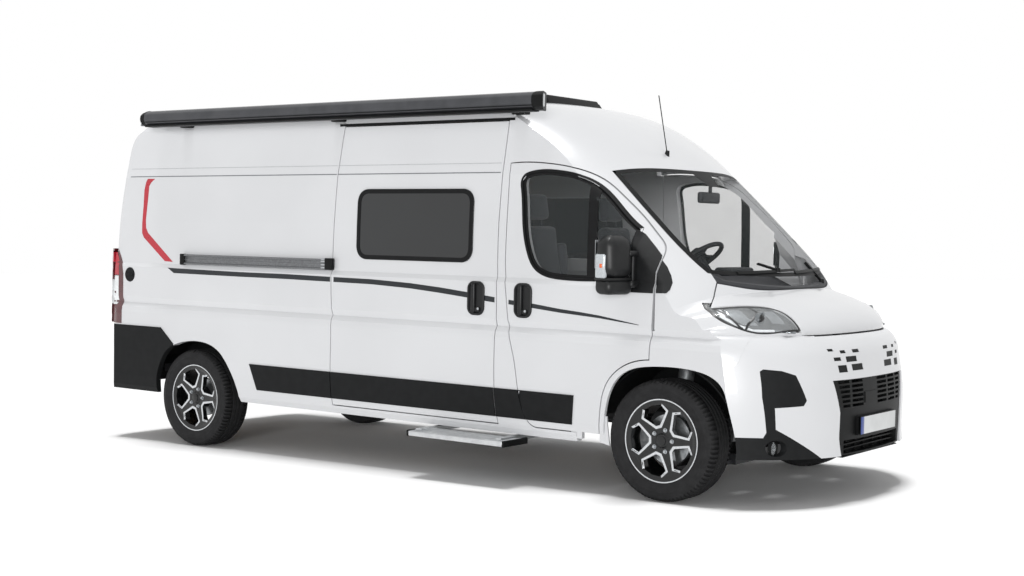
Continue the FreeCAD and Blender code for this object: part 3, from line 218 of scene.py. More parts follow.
# Red, clear and dark bands of the tail lamps, moulded in one acrylic cover
# Fine upright ribs in its face break up what shines through
tail_cover, tree, spot = start_material("banded_lamp_acrylic")
lamp_bottom, lamp_top = 0.891, 1.447
split = add(tree, "ShaderNodeSeparateXYZ", links=spot)
height = add(tree, "ShaderNodeMapRange", {"From Min": lamp_bottom, "From Max": lamp_top},
             {"Value": split.outputs["Z"]})
bands = add(tree, "ShaderNodeValToRGB", links={"Fac": height.outputs["Result"]})
bands.color_ramp.interpolation = "CONSTANT"
bands.color_ramp.elements[0].color = linear("#5c0d10")
bands.color_ramp.elements[1].position = 0.34
bands.color_ramp.elements[1].color = linear("#c9c4c2")
for level, code in ((0.46, "#8d1216"), (0.98, "#141415")):
    stop = bands.color_ramp.elements.new(level)
    stop.color = linear(code)
ribs = add(tree, "ShaderNodeTexWave", {"bands_direction": "Y", "Scale": 40.0}, spot)
bump = add(tree, "ShaderNodeBump", {"Strength": 0.4, "Distance": 0.001}, {"Height": ribs.outputs["Fac"]})
close_material(tree, {"Roughness": 0.12, "Coat Weight": 0.8},
               {"Base Color": bands.outputs["Color"], "Normal": bump.outputs["Normal"]})
dress(tail_cover, ["tail_lamps"])

# Stripes on both sides: a red bent stripe behind and a long dark one that thins out over the front door
# Cut from cast film about half a millimetre thick and laid on the panels, so each panel has its own length
# The body is drawn in millimetres from the front axle and leans forward by one degree about it
rake = math.radians(0.996)
axle_x, axle_z = 2072, 360
to_body = (Matrix.Scale(0.001, 4) @ Matrix.Translation((axle_x, 0, axle_z)) @ Matrix.Rotation(rake, 4, "Y")
           @ Matrix.Translation((0, 0, -axle_z)))
to_wheels = Matrix.Scale(0.001, 4) @ Matrix.Translation((axle_x, 0, 0))
RIGHT = Vector((0, 1, 0))
LEFT = Vector((0, -1, 0))
FRONT = Vector((-1, 0, 0))
REAR = Vector((1, 0, 0))
TOP = Vector((0, 0, -1))
SIDES = (("right", -1, RIGHT), ("left", 1, LEFT))


def raked(x, y, z):
    return to_body @ Vector((x, y, z))


# Points given by x and z, all at one distance across
def beside(y, points):
    return [raked(x, y, z) for x, z in points]


def skin_of(*names):
    corners, faces = [], []
    for name in names:
        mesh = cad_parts[name].data
        start = len(corners)
        corners += [v.co.copy() for v in mesh.vertices]
        faces += [[start + i for i in p.vertices] for p in mesh.polygons]
    return BVHTree.FromPolygons(corners, faces)


# The point of a skin that lies straight on along a way from well outside it, or else the nearest one
def drop(point, way, skin, lift):
    outside = 0.7
    hit = skin.ray_cast(point - way * outside, way)[0]
    if hit is None:
        near = skin.find_nearest(point)[0]
        hit = point + way * (near - point).dot(way)
    return hit - way * (lift / 1000)


def cut_in_cells(bm, way, cell):
    for axis in (Vector((1, 0, 0)), Vector((0, 1, 0)), Vector((0, 0, 1))):
        if abs(axis.dot(way)) > 0.5:
            continue
        places = [v.co.dot(axis) for v in bm.verts]
        at = min(places) + cell
        while at < max(places):
            bmesh.ops.bisect_plane(bm, geom=bm.verts[:] + bm.edges[:] + bm.faces[:], dist=0.00001,
                                   plane_co=axis * at, plane_no=axis)
            at += cell


# A sheet of one outline, dropped on the skin along one way, then thickened away from it
def sheet_on(outline, way, skin, cell, lift, thick):
    bm = bmesh.new()
    bm.faces.new([bm.verts.new(p) for p in outline])
    bm.normal_update()
    bmesh.ops.triangulate(bm, faces=bm.faces[:])
    cut_in_cells(bm, way, cell)
    for v in bm.verts:
        v.co = drop(v.co, way, skin, lift)
    thicken(bm, way, thick)
    return bm


# The points that an extrusion has made
def new_points(result):
    return [g for g in result["geom"] if isinstance(g, bmesh.types.BMVert)]


def thicken(bm, way, thick):
    grown = bmesh.ops.extrude_face_region(bm, geom=bm.faces[:])
    bmesh.ops.translate(bm, vec=way * (-thick / 1000), verts=new_points(grown))
    bmesh.ops.recalc_face_normals(bm, faces=bm.faces[:])


def merged(parts):
    whole = bmesh.new()
    for part in parts:
        mesh = bpy.data.meshes.new("part")
        part.to_mesh(mesh)
        part.free()
        whole.from_mesh(mesh)
        bpy.data.meshes.remove(mesh)
    return whole


# A finished piece: shaded smooth but for its sharp edges, placed in its mesh, and riding on its body
sharp = 0.6


def piece(name, bm, material, body, place=None):
    if place is not None:
        bmesh.ops.transform(bm, matrix=place, verts=bm.verts[:])
    bmesh.ops.recalc_face_normals(bm, faces=bm.faces[:])
    for face in bm.faces:
        face.smooth = True
    for edge in bm.edges:
        edge.smooth = edge.calc_face_angle(0.0) < sharp
    mesh = bpy.data.meshes.new(name)
    bm.to_mesh(mesh)
    bm.free()
    mesh.materials.append(material)
    obj = bpy.data.objects.new(name, mesh)
    bpy.context.scene.collection.objects.link(obj)
    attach(obj, body)
    return obj


skins = {"right_wall": skin_of("side_wall_right"), "left_wall": skin_of("side_wall_left"),
         "sliding": skin_of("sliding_door"), "door_right": skin_of("door_right"),
         "door_left": skin_of("door_left")}
red_film = coating("red_cast_film", "#a80f26", "#a20c22", 300, (0.25, 0.32), 0.01, 20, {"Coat Weight": 0.3})
dark_film = coating("graphite_cast_film", "#24272a", "#202326", 300, (0.3, 0.4), 0.01, 20,
                    {"Specular IOR Level": 0.3})
# Outlines start near the wall, from where they are dropped onto it
wall_y = 990
BENT = [(-4622, 1922), (-4538, 1921), (-4583, 1892), (-4603, 1865), (-4607, 1804), (-4625, 1608),
        (-4621, 1548), (-4598, 1510), (-4305, 1294), (-4396, 1297), (-4644, 1472), (-4666, 1506),
        (-4668, 1574), (-4660, 1711), (-4657, 1837), (-4641, 1897)]
for word, side, way in SIDES:
    stripe = sheet_on(beside(side * wall_y, BENT), way, skins[word + "_wall"], 0.03, 0.3, 0.4)
    piece("stripe_red_" + word, stripe, red_film, "van")
SWEEP = [(-4347, 1250, 1249), (-4299, 1248, 1211), (-3561, 1240, 1206), (-3104, 1240, 1205),
         (-2659, 1234, 1200), (-2282, 1230, 1196), (-1946, 1216, 1181), (-1689, 1197, 1161),
         (-1465, 1175, 1140), (-1279, 1155, 1120), (-1120, 1138, 1110), (-943, 1123, 1095),
         (-739, 1099, 1076), (-591, 1087, 1066), (-446, 1072, 1056), (-303, 1051, 1041),
         (-163, 1030, 1027)]


def between(table, x):
    for low, high in zip(table, table[1:]):
        if low[0] <= x <= high[0]:
            share = (x - low[0]) / (high[0] - low[0])
            return [a + (b - a) * share for a, b in zip(low[1:], high[1:])]
    return list(table[-1][1:])


def sweep(x0, x1, side):
    places = [x0 + (x1 - x0) * i / 24 for i in range(25)]
    upper = [(x, between(SWEEP, x)[0]) for x in places]
    lower = [(x, between(SWEEP, x)[1]) for x in places]
    return beside(side * wall_y, upper + lower[::-1])


# The middle of the gap behind the sliding door, in body millimetres
slide_gap = (to_body.inverted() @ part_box("sliding_door")[0]).x - 3
LENGTHS = (("wall_right", -4347, slide_gap - 9, -1, "right_wall", "van"),
           ("sliding_door", slide_gap + 9, -1240, -1, "sliding", "van"),
           ("door_right", -1130, -170, -1, "door_right", "door_right"),
           ("wall_left", -4347, -1236, 1, "left_wall", "van"),
           ("door_left", -1130, -170, 1, "door_left", "door_left"))
for name, x0, x1, side, skin, body in LENGTHS:
    way = RIGHT if side < 0 else LEFT
    stripe = sheet_on(sweep(x0, x1, side), way, skins[skin], 0.04, 0.3, 0.4)
    piece("stripe_dark_" + name, stripe, dark_film, body)

# Seals and frames round the glass: black rubber pressed over the edge of each opening
# The front doors have a fixed quarter pane behind an upright bar, and a black corner that carries the mirror


# A copy of a node's mesh with its loose triangles joined up
def welded(name):
    bm = bmesh.new()
    bm.from_mesh(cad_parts[name].data)
    bmesh.ops.remove_doubles(bm, verts=bm.verts[:], dist=0.00002)
    return bm


# The closed edge lines of the faces of a node that face one side
def outer_loops(name, way, facing=-0.55):
    bm = welded(name)
    away = [f for f in bm.faces if f.normal.dot(way) > facing]
    bmesh.ops.delete(bm, geom=away, context="FACES")
    left = {e for e in bm.edges if e.is_boundary}
    loops = []
    while left:
        edge = left.pop()
        start, here = edge.verts
        loop = [start.co.copy()]
        while here is not start:
            loop.append(here.co.copy())
            onward = [e for e in here.link_edges if e in left]
            if not onward:
                break
            edge = onward[0]
            left.discard(edge)
            here = edge.other_vert(here)
        loops.append(loop)
    bm.free()
    return [loop for loop in loops if len(loop) > 12]


def evenly(loop, spacing):
    ends = loop + loop[:1]
    lengths = [(b - a).length for a, b in zip(ends, ends[1:])]
    count = max(8, int(sum(lengths) / spacing))
    step = sum(lengths) / count
    out, at, used = [], 0, 0.0
    for i in range(count):
        while used + lengths[at] < i * step:
            used += lengths[at]
            at += 1
        out.append(ends[at].lerp(ends[at + 1], (i * step - used) / lengths[at]))
    return out


def grown(loop, by, way):
    middle = sum(loop, Vector()) / len(loop)
    area = sum(((a - middle).cross(b - middle)).dot(way) for a, b in zip(loop, loop[1:] + loop[:1]))
    turn = 1.0 if area > 0 else -1.0
    out = []
    for i, here in enumerate(loop):
        along = (loop[(i + 1) % len(loop)] - loop[i - 1]).normalized()
        out.append(here + along.cross(way) * (turn * by / 1000))
    return out


# A band along one closed loop, between the first and the last of its sizes, each size an offset outwards
def band_on(loop, sizes, way, skin, lift, thick, spacing=0.018):
    bm = bmesh.new()
    outline = grown(evenly(loop, spacing), sizes[-1], way)
    middle = bm.faces.new([bm.verts.new(p) for p in outline])
    bm.normal_update()
    for inner, outer in zip(sizes[-2::-1], sizes[:0:-1]):
        bmesh.ops.inset_region(bm, faces=[middle], thickness=(outer - inner) / 1000, use_even_offset=True,
                               use_boundary=True)
    bmesh.ops.delete(bm, geom=[middle], context="FACES_ONLY")
    for v in bm.verts:
        v.co = drop(v.co, way, skin, lift)
    thicken(bm, way, thick)
    return bm


seal = coating("black_window_rubber", "#101112", "#0c0c0d", 30, (0.45, 0.6), 0.05, 1.5,
               {"Specular IOR Level": 0.15})
for word, side, way in SIDES:
    loop = outer_loops("door_glass_" + word, way)[0]
    pane_skin = skin_of("door_glass_" + word)
    both_skin = skin_of("door_" + word, "door_glass_" + word)
    body = "door_" + word
    band = band_on(loop, (-20, -0.7, 0.7, 4, 17), way, both_skin, 0.0, 2.4, 0.012)
    piece("door_seal_" + word, band, seal, body)
    bar = beside(side * 960, ((-557, 1862), (-520, 1846), (-492, 1822), (-492, 1296), (-557, 1296)))
    piece("door_pane_bar_" + word, sheet_on(bar, way, pane_skin, 0.05, 0.2, 7.0), seal, body)
pane_skin = skin_of("side_windows")
for word, side, way in SIDES:
    near = [loop for loop in outer_loops("side_windows", way) if sum(p.dot(way) for p in loop) < 0]
    for number, loop in enumerate(near):
        band = band_on(loop, (-30, -1), way, pane_skin, 0.0, 2.5)
        piece("window_frame_%s_%d" % (word, number + 1), band, seal, "van")
for word in ("left", "right"):
    body = "rear_door_" + word
    loop = outer_loops("rear_glass_" + word, REAR)[0]
    skin = skin_of("rear_door_" + word, "rear_glass_" + word)
    band = band_on(loop, (-8, -0.7, 0.7, 4, 16), REAR, skin, 0.0, 2.4, 0.012)
    piece("rear_seal_" + word, band, seal, body)
    border = band_on(loop, (-34, -6), REAR, skin_of("rear_glass_" + word), 0.1, 0.5)
    piece("rear_glass_border_" + word, border, seal, body)
loop = outer_loops("windscreen", FRONT)[0]
screen_skin = skin_of("windscreen")
piece("screen_border", band_on(loop, (-34, -1), FRONT, screen_skin, 0.15, 0.4), seal, "van")
camera_patch = [raked(0, y, z) for y, z in ((-70, 1880), (70, 1880), (120, 1968), (-120, 1968))]
patch = sheet_on(camera_patch, FRONT, screen_skin, 0.03, 0.15, 0.4)
piece("screen_sensor_patch", patch, seal, "van")

# Door mirrors: a deep black shell on two arms, its lower lip a separate moulding, with the turn lamp outside
# The shell is injection-moulded, the glass is silvered and the arms plug into a corner plate on the door


def rounded(bm, edges, by, segments):
    bmesh.ops.bevel(bm, geom=edges, affect="EDGES", offset=by, segments=segments, profile=0.5, material=-1)


# A softened box between its lowest and its highest corner, turned about if asked
def soft_box(low, high, radius, segments=4, turn=None):
    bm = bmesh.new()
    bmesh.ops.create_cube(bm, size=1.0)
    span = Vector(high) - Vector(low)
    middle = (Vector(high) + Vector(low)) / 2
    bmesh.ops.scale(bm, vec=span, verts=bm.verts[:])
    rounded(bm, bm.edges[:], radius, segments)
    place = Matrix.Translation(middle)
    if turn is not None:
        place = turn @ place
    bmesh.ops.transform(bm, matrix=place, verts=bm.verts[:])
    return bm


def rotation(degrees, axis, centre=(0, 0, 0)):
    to_centre = Matrix.Translation(centre)
    return to_centre @ Matrix.Rotation(math.radians(degrees), 4, axis) @ to_centre.inverted()


mirror_shell = coating("satin_black_mirror_shell", "#141516", "#101112", 40, (0.34, 0.46), 0.04, 1.2,
                       {"Specular IOR Level": 0.3})
silvered = coating("silvered_mirror_glass", "#d5d9dc", "#cdd2d5", 400, (0.02, 0.04), 0.0, 60,
                   {"Metallic": 1.0})
lamp_plastic = coating("clear_ribbed_lamp_cover", "#b4b9bc", "#a6abaf", 8, (0.08, 0.16), 0.2, 3,
                       {"Coat Weight": 0.8})
amber = coating("amber_lamp_cover", "#e0601c", "#c94f12", 8, (0.1, 0.2), 0.2, 3, {"Coat Weight": 0.8})
for word, side, way in SIDES:
    flip = Matrix.Scale(side, 4, (0, 1, 0))
    inner_edge = (-180, 1052, 0)
    swing = rotation(14, "Z", inner_edge)
    body = "door_" + word
    head = soft_box((-330, 1037, 1300), (-180, 1252, 1556), 70, 8, swing)
    mid_height = 1428
    for v in head.verts:
        v.co.y += (v.co.z - mid_height) * (-0.04 if v.co.y > 1150 else 0.04)
        v.co.x += (v.co.z - mid_height) * (-0.05 if v.co.x > -250 else 0.0)
    lip = soft_box((-318, 1043, 1208), (-184, 1250, 1296), 38, 6, swing)
    inset_ring = soft_box((-326, 1056, 1290), (-196, 1236, 1308), 6, 2, swing)
    arm_high = soft_box((-238, 960, 1432), (-186, 1080, 1466), 13, 4)
    arm_low = soft_box((-244, 960, 1250), (-172, 1080, 1290), 16, 4)
    post = soft_box((-226, 1004, 1262), (-196, 1034, 1450), 10, 3)
    joined = merged([head, lip, inset_ring, arm_high, arm_low, post])
    shell = piece("mirror_shell_" + word, joined, mirror_shell, body, to_body @ flip)
    corner = beside(side * 985, ((-228, 1590), (-190, 1566), (-118, 1494), (-69, 1442), (-66, 1424),
                                 (-78, 1220), (-240, 1220)))
    plate = sheet_on(corner, way, skins[body], 0.02, 0.0, 9.0)
    piece("mirror_plate_" + word, plate, mirror_shell, body)
    rub = beside(side * 1010, ((-1150, 581), (-1114, 400), (-625, 400), (-613, 580)))
    strip = sheet_on(rub, way, skins[body], 0.06, 0.0, 8.0)
    piece("door_rub_strip_" + word, strip, plastic, body)
    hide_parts("door_trim_" + word)
    upper_glass = soft_box((-331.4, 1064, 1360), (-328, 1226, 1526), 1.5, 2, swing)
    lower_glass = soft_box((-319.4, 1066, 1242), (-316, 1228, 1286), 1.5, 2, swing)
    glasses = merged([upper_glass, lower_glass])
    piece("mirror_glass_" + word, glasses, silvered, body, to_body @ flip)
    turn_lamp = soft_box((-300, 1226, 1304), (-218, 1258, 1446), 14, 5, swing)
    piece("mirror_turn_lamp_" + word, turn_lamp, lamp_plastic, body, to_body @ flip)
    spot = soft_box((-258, 1240, 1364), (-232, 1261, 1390), 6, 4, swing)
    piece("mirror_turn_lamp_edge_" + word, spot, amber, body, to_body @ flip)
wing_skin = skin_of("front_wings")
for word, side, way in SIDES:
    corner = beside(side * 985, ((-57, 1412), (-24, 1376), (10, 1324), (27, 1284), (24, 1243), (9, 1223),
                                 (-68, 1221), (-62, 1330)))
    plate = sheet_on(corner, way, wing_skin, 0.012, 0.0, 4.0)
    piece("wing_corner_plate_" + word, plate, mirror_shell, "van")

# Door handles: a tall oval black plate round a hollow, with an upright grip across its middle
# All three are moulded alike, clipped through the door skin and screwed from inside
lock_steel = coating("satin_steel_lock", "#b4b7ba", "#a3a6a9", 20, (0.25, 0.38), 0.03, 1.5,
                     {"Metallic": 0.85})


def oval_plate(low, high, corner, edge):
    bm = bmesh.new()
    bmesh.ops.create_cube(bm, size=1.0)
    bmesh.ops.scale(bm, vec=Vector(high) - Vector(low), verts=bm.verts[:])
    bmesh.ops.translate(bm, vec=(Vector(high) + Vector(low)) / 2, verts=bm.verts[:])
    deep = [e for e in bm.edges if abs(e.verts[0].co.y - e.verts[1].co.y) > 1]
    rounded(bm, deep, corner, 10)
    front = max(bm.faces, key=lambda f: f.calc_center_median().y)
    rounded(bm, list(front.edges), edge, 4)
    return bm


def cone(segments, radius1, radius2, depth):
    bm = bmesh.new()
    bmesh.ops.create_cone(bm, cap_ends=True, segments=segments, radius1=radius1, radius2=radius2, depth=depth)
    return bm


def handle_set(name, x, z, side, skin, body):
    way = RIGHT if side < 0 else LEFT
    reach = abs(drop(raked(x, side * wall_y, z), way, skin, 0).y) * 1000
    flip = Matrix.Scale(side, 4, (0, 1, 0))
    half_width, half_height, grip_half = 68, 109, 98
    plate = oval_plate((x - half_width, reach - 8, z - half_height),
                       (x + half_width, reach + 12, z + half_height), 50, 7)
    front = max(plate.faces, key=lambda f: f.calc_center_median().y)
    bmesh.ops.inset_region(plate, faces=[front], thickness=6.0, depth=0.0)
    bmesh.ops.inset_region(plate, faces=[front], thickness=7.0, depth=-10.0)
    grip = soft_box((x - 34, reach + 2, z - grip_half + 2), (x - 2, reach + 27, z + grip_half), 12, 5)
    for v in grip.verts:
        v.co.y -= ((v.co.z - z) / grip_half) ** 2 * 9 if v.co.y > reach + 6 else 0
    latch = soft_box((x - 40, reach + 2, z - 84), (x + 34, reach + 12, z - 58), 5, 3)
    piece(name, merged([plate, grip, latch]), mirror_shell, body, to_body @ flip)
    turn = Matrix.Translation((x + 24, reach + 10, z - 66)) @ rotation(-90, "X")
    piece(name + "_lock", cone(32, 9, 8, 8), lock_steel, body, to_body @ flip @ turn)


handle_height = 1139
handle_set("handle_door_right", -1017, handle_height, -1, skins["door_right"], "door_right")
handle_set("handle_door_left", -1017, handle_height, 1, skins["door_left"], "door_left")
handle_set("handle_sliding_door", -1388, handle_height, -1, skins["sliding"], "van")

# Round black water filler cap on the right rear, screwed in with a grip bar across it
# The square fuel flap behind the left door is pressed steel, painted with the body, in a dark seam
cap_x, cap_z = -4781, 1185
cap_y = drop(raked(cap_x, -wall_y, cap_z), RIGHT, skins["right_wall"], 0).y * 1000
round_cap = cone(64, 58, 54, 9)
bmesh.ops.transform(round_cap, matrix=Matrix.Translation((cap_x, cap_y, cap_z)) @ rotation(90, "X"),
                    verts=round_cap.verts[:])
cap_grip = soft_box((cap_x - 41, cap_y - 12, cap_z - 8), (cap_x + 41, cap_y - 2, cap_z + 8), 4, 3)
piece("filler_cap", merged([round_cap, cap_grip]), plastic, "van", to_body)
flap = beside(wall_y, ((-1440, 742), (-1440, 898), (-1430, 908), (-1270, 908), (-1260, 898), (-1260, 742),
                       (-1270, 732), (-1430, 732)))
piece("fuel_flap", sheet_on(flap, LEFT, skins["left_wall"], 0.03, 0.2, 1.4), paint, "van")
seam = band_on(flap, (0.5, 5), LEFT, skins["left_wall"], 0.1, 0.3)
piece("fuel_flap_seam", seam, seal, "van")

# Two level lines along the high sides where the roof meets the walls, thin grey strips of painted shadow for
# the shade in two shallow grooves
# The lower one is deeper and darker, the upper one only a fine line
# Painted shadow: both strips are coloured grey to stand for the grooves' shade, not for a sealer
groove_shadow_grey = coating("grey_painted_groove_shadow", "#6f7275", "#65686b", 30, (0.45, 0.6), 0.05, 2)
groove_shadow_pale = coating("pale_painted_groove_shadow", "#a9abad", "#a0a2a4", 30, (0.45, 0.6), 0.05, 2)
for name, x0, x1, side, skin in (("wall_right", -4880, slide_gap - 6, -1, "right_wall"),
                                 ("sliding_door", slide_gap + 6, -1236, -1, "sliding"),
                                 ("wall_left", -4880, -1240, 1, "left_wall")):
    way = RIGHT if side < 0 else LEFT
    for word, z, tall, colour in (("low", 1935, 7, groove_shadow_grey), ("high", 1996, 4.5, groove_shadow_pale)):
        line = beside(side * 980, ((x0, z), (x0, z + tall), (x1, z + tall), (x1, z)))
        groove_shadow_strip = sheet_on(line, way, skins[skin], 0.06, 0.1, 0.5)
        piece("joint_%s_%s" % (word, name), groove_shadow_strip, colour, "van")

# Black cover over the sliding door's upper rail, a long plastic strip clipped along the roof edge
# It runs the length of the door's travel just below the awning
upper_rail = beside(-925, ((-2651, 2268), (-2651, 2284), (-1159, 2284), (-1159, 2268)))
upper_skin = skin_of("door_posts_and_sills", "roof_panel", "cab_roof", "side_wall_right", "sliding_door")
cover = sheet_on(upper_rail, RIGHT, upper_skin, 0.08, 0.0, 10.0)
piece("upper_rail_cover", cover, dark_plastic, "van")

# Middle rail of the sliding door: a drawn steel channel with a rolled lip above and below
# A black moulding closes it behind, another covers the roller carriage at the front
rail_steel = coating("drawn_rail_steel", "#77797b", "#68696b", 14, (0.3, 0.45), 0.05, 1.5, {"Metallic": 0.75})
rail_rear, rail_front = -4183, -2640
bars = []
for outer, inner, low, high, radius, segments in ((-1012, -996, 1284, 1352, 2, 2),
                                                  (-1023, -1004, 1342, 1356, 4, 3),
                                                  (-1023, -1004, 1280, 1294, 4, 3),
                                                  (-1017, -1008, 1312, 1322, 2, 2)):
    bars.append(soft_box((rail_rear, outer, low), (rail_front, inner, high), radius, segments))
rail = piece("slide_rail_channel", merged(bars), rail_steel, "van", to_body)
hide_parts("slide_rail")
rail_end = soft_box((-4187, -1026, 1276), (-4142, -996, 1359), 6, 3)
rail_head = soft_box((-2700, -1027, 1282), (-2632, -996, 1362), 5, 3)
piece("slide_rail_ends", merged([rail_end, rail_head]), dark_plastic, "van", to_body)
carriage = [soft_box((-2738, -1025, z), (-2700, -1004, z + 12), 4, 3) for z in (1290, 1310, 1332, 1348)]
piece("slide_rail_rollers", merged(carriage), lock_steel, "van", to_body)

# Tyres: low road tyres of carbon-black rubber with four grooves round the tread and blocked shoulders
# One pitch of the pattern is turned through its arc and repeated, as the mould's segments do
TYRE_HALF = [(229.3, 94.5), (240, 96), (247, 101), (254, 110), (263, 116.5), (275, 120.5), (291, 122.2),
             (297, 122.2), (299, 123), (303, 123), (305, 121.8), (318, 119.5), (331, 115.5), (341, 110),
             (347, 105.5), (352, 98), (356, 89), (358, 78), (359, 66), (359.4, 58), (352, 56.5), (352, 49.5),
             (359.8, 48), (360, 22), (352, 20.5), (352, 14.5), (360, 13)]
PITCHES = 80
block_share = 0.78
outer_groove, shoulder_edge, shoulder_foot = 57.5, 112, 338


def tyre_mesh():
    bm = bmesh.new()
    line = [bm.verts.new((0, -y, r)) for r, y in TYRE_HALF]
    line += [bm.verts.new((0, y, r)) for r, y in TYRE_HALF[::-1]]
    edges = [bm.edges.new(pair) for pair in zip(line, line[1:])]
    arc = 2 * math.pi / PITCHES
    block = bmesh.ops.spin(bm, geom=line + edges, cent=(0, 0, 0), axis=(0, 1, 0), angle=arc * block_share,
                           steps=1)
    before = set(bm.faces)
    bmesh.ops.spin(bm, geom=block["geom_last"], cent=(0, 0, 0), axis=(0, 1, 0),
                   angle=arc * (1 - block_share), steps=1)
    slot = []
    for face in bm.faces:
        middle = face.calc_center_median()
        if face not in before and outer_groove < abs(middle.y) < shoulder_edge and middle.z > shoulder_foot:
            slot.append(face)
    sunk = bmesh.ops.extrude_face_region(bm, geom=slot)
    for v in new_points(sunk):
        v.co.z -= 5.0
        v.co.y -= 2.0 if v.co.y > 0 else -2.0
    bmesh.ops.spin(bm, geom=bm.verts[:] + bm.edges[:] + bm.faces[:], cent=(0, 0, 0), axis=(0, 1, 0),
                   angle=2 * math.pi - arc, steps=PITCHES - 1, use_duplicate=True)
    bmesh.ops.remove_doubles(bm, verts=bm.verts[:], dist=0.1)
    bmesh.ops.recalc_face_normals(bm, faces=bm.faces[:])
    return bm


wheelbase = 4035
WHEELS = [("front_left", 0, 1, 905), ("front_right", 0, -1, 905),
          ("rear_left", -wheelbase, 1, 895), ("rear_right", -wheelbase, -1, 895)]
for word, x, side, half_track in WHEELS:
    spot = to_wheels @ Matrix.Translation((x, side * half_track, axle_z))
    tyre = piece("road_tyre_" + word, tyre_mesh(), rubber, "wheel_" + word, spot)
    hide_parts("tyre_" + word)

# Cast wheels: black lacquer with diamond-turned edges round the five openings and a turned lip
# Five bright bolts, a plain black cap, a rubber valve and the steel brake disc behind complete each wheel
# The edges follow one of the five openings, from its outer corners to its inner ones, and are turned round
turned = coating("diamond_turned_alloy", "#d3d5d7", "#c3c6c9", 10, (0.16, 0.28), 0.02, 0.8, {"Metallic": 0.9})
bolt_steel = coating("zinc_plated_bolt", "#b9bcbf", "#9fa3a7", 6, (0.22, 0.4), 0.03, 1.0, {"Metallic": 0.9})
disc_steel = coating("ground_brake_steel", "#a9acae", "#8f9294", 14, (0.25, 0.4), 0.03, 0.9,
                     {"Metallic": 0.95})
OPENING = [(-68, 207), (-96, 157), (-20, 75), (20, 75), (96, 157), (68, 207)]
SPOKES = 5
bolt_circle, bolt_height, valve_circle = 66, 92, 222
INNER = [(-59, 198), (-80, 158), (-14, 91), (14, 91), (80, 158), (59, 198)]


def lathe(profile, steps=96):
    bm = bmesh.new()
    line = [bm.verts.new((r, y, 0)) for r, y in profile]
    edges = [bm.edges.new(pair) for pair in zip(line, line[1:] + line[:1])]
    bmesh.ops.spin(bm, geom=line + edges, cent=(0, 0, 0), axis=(0, 1, 0), angle=2 * math.pi, steps=steps,
                   use_merge=True)
    bmesh.ops.recalc_face_normals(bm, faces=bm.faces[:])
    return bm


for word, x, side, half_track in WHEELS:
    way = RIGHT if side < 0 else LEFT
    body = "wheel_" + word
    face = skin_of("rim_" + word)
    spot = to_wheels @ Matrix.Translation((x, side * half_track, axle_z))
    out = Matrix.Scale(side, 4, (0, 1, 0))
    edging = []
    for k in range(SPOKES):
        turn = rotation(-18 + 360 / SPOKES * k, "Y")
        for start, end in zip(range(5), range(1, 6)):
            corners = [OPENING[start], OPENING[end], INNER[end], INNER[start]]
            ring = [spot @ turn @ Vector((-a, side * 90, b)) for a, b in corners]
            edging.append(sheet_on(ring, way, face, 0.014, 0.0, 0.6))
    piece("wheel_turned_edges_" + word, merged(edging), turned, body)
    lip = lathe([(240, 102.0), (246.2, 102.4), (246.2, 103.6), (242, 103.8), (239.4, 102.8)])
    piece("wheel_turned_lip_" + word, lip, turned, body, spot @ out)
    cap = lathe([(0.01, 97.5), (26, 97.5), (30, 98.6), (29, 101.5), (22, 103.6), (0.01, 104.2)], 48)
    piece("wheel_cap_" + word, cap, gloss_black, body, spot @ out)
    bolts = []
    for k in range(SPOKES):
        bolt = cone(6, 10.5, 9.5, 14)
        rounded(bolt, bolt.edges[:], 1.2, 2)
        washer = cone(24, 13.5, 12.5, 4)
        bmesh.ops.translate(washer, vec=(0, 0, -5.5), verts=washer.verts[:])
        both = merged([bolt, washer])
        angle = math.radians(360 / SPOKES * k)
        bolt_at = (bolt_circle * math.cos(angle), side * bolt_height, bolt_circle * math.sin(angle))
        place = Matrix.Translation(bolt_at) @ rotation(-90 * side, "X")
        bmesh.ops.transform(both, matrix=spot @ place, verts=both.verts[:])
        bolts.append(both)
    piece("wheel_bolts_" + word, merged(bolts), bolt_steel, body)
    place = Matrix.Translation((0, side * 84, valve_circle)) @ rotation(-70 * side, "X")
    piece("wheel_valve_" + word, cone(16, 5, 4, 26), seal, body, spot @ place)
    in_front = word.startswith("front")
    reach, disc_radius = (12.4, 148) if in_front else (2.4, 138)
    disc = lathe([(76, reach), (disc_radius, reach), (disc_radius, reach + 0.8), (76, reach + 0.8)])
    holder = word.replace("front", "steer") if in_front else "van"
    piece("brake_disc_face_" + word, disc, disc_steel, holder, spot @ out)

# Headlamps: a clear acrylic cover over a black housing, with a light guide, a projector and silvered steps
# The cover follows the lamp's outer surface, and a black rim is moulded round its edge
clear_cover, tree, spot = start_material("clear_lamp_acrylic")
haze = add(tree, "ShaderNodeTexNoise", {"Scale": 12.0, "Detail": 3.0}, spot)
clear = add(tree, "ShaderNodeMapRange", {"To Min": 0.08, "To Max": 0.16}, {"Value": haze.outputs["Fac"]})
close_material(tree, {"Base Color": linear("#e6eaec"), "Roughness": 0.03, "IOR": 1.49,
                      "Specular IOR Level": 0.4}, {"Alpha": clear.outputs["Result"]})
glow = coating("white_light_guide", "#dfe2e4", "#d2d5d8", 20, (0.2, 0.3), 0.02, 2, {"Coat Weight": 0.3})
silver_step = coating("silvered_reflector", "#8b8f92", "#6f7376", 9, (0.12, 0.24), 0.3, 5, {"Metallic": 0.85})
lamp_black = coating("black_lamp_housing", "#141516", "#0e0f10", 14, (0.3, 0.45), 0.1, 3)


def lamp_shell(side):
    bm = welded("headlamps")
    away = [f for f in bm.faces if f.normal.x < 0.12 or f.calc_center_median().y * side < 0]
    bmesh.ops.delete(bm, geom=away, context="FACES")
    return bm


lamp_skin = skin_of("headlamps")


def in_lamp(points, depth, thick, side):
    outline = [raked(800, side * y, z) for y, z in points]
    return sheet_on(outline, FRONT, lamp_skin, 0.01, -depth, thick)


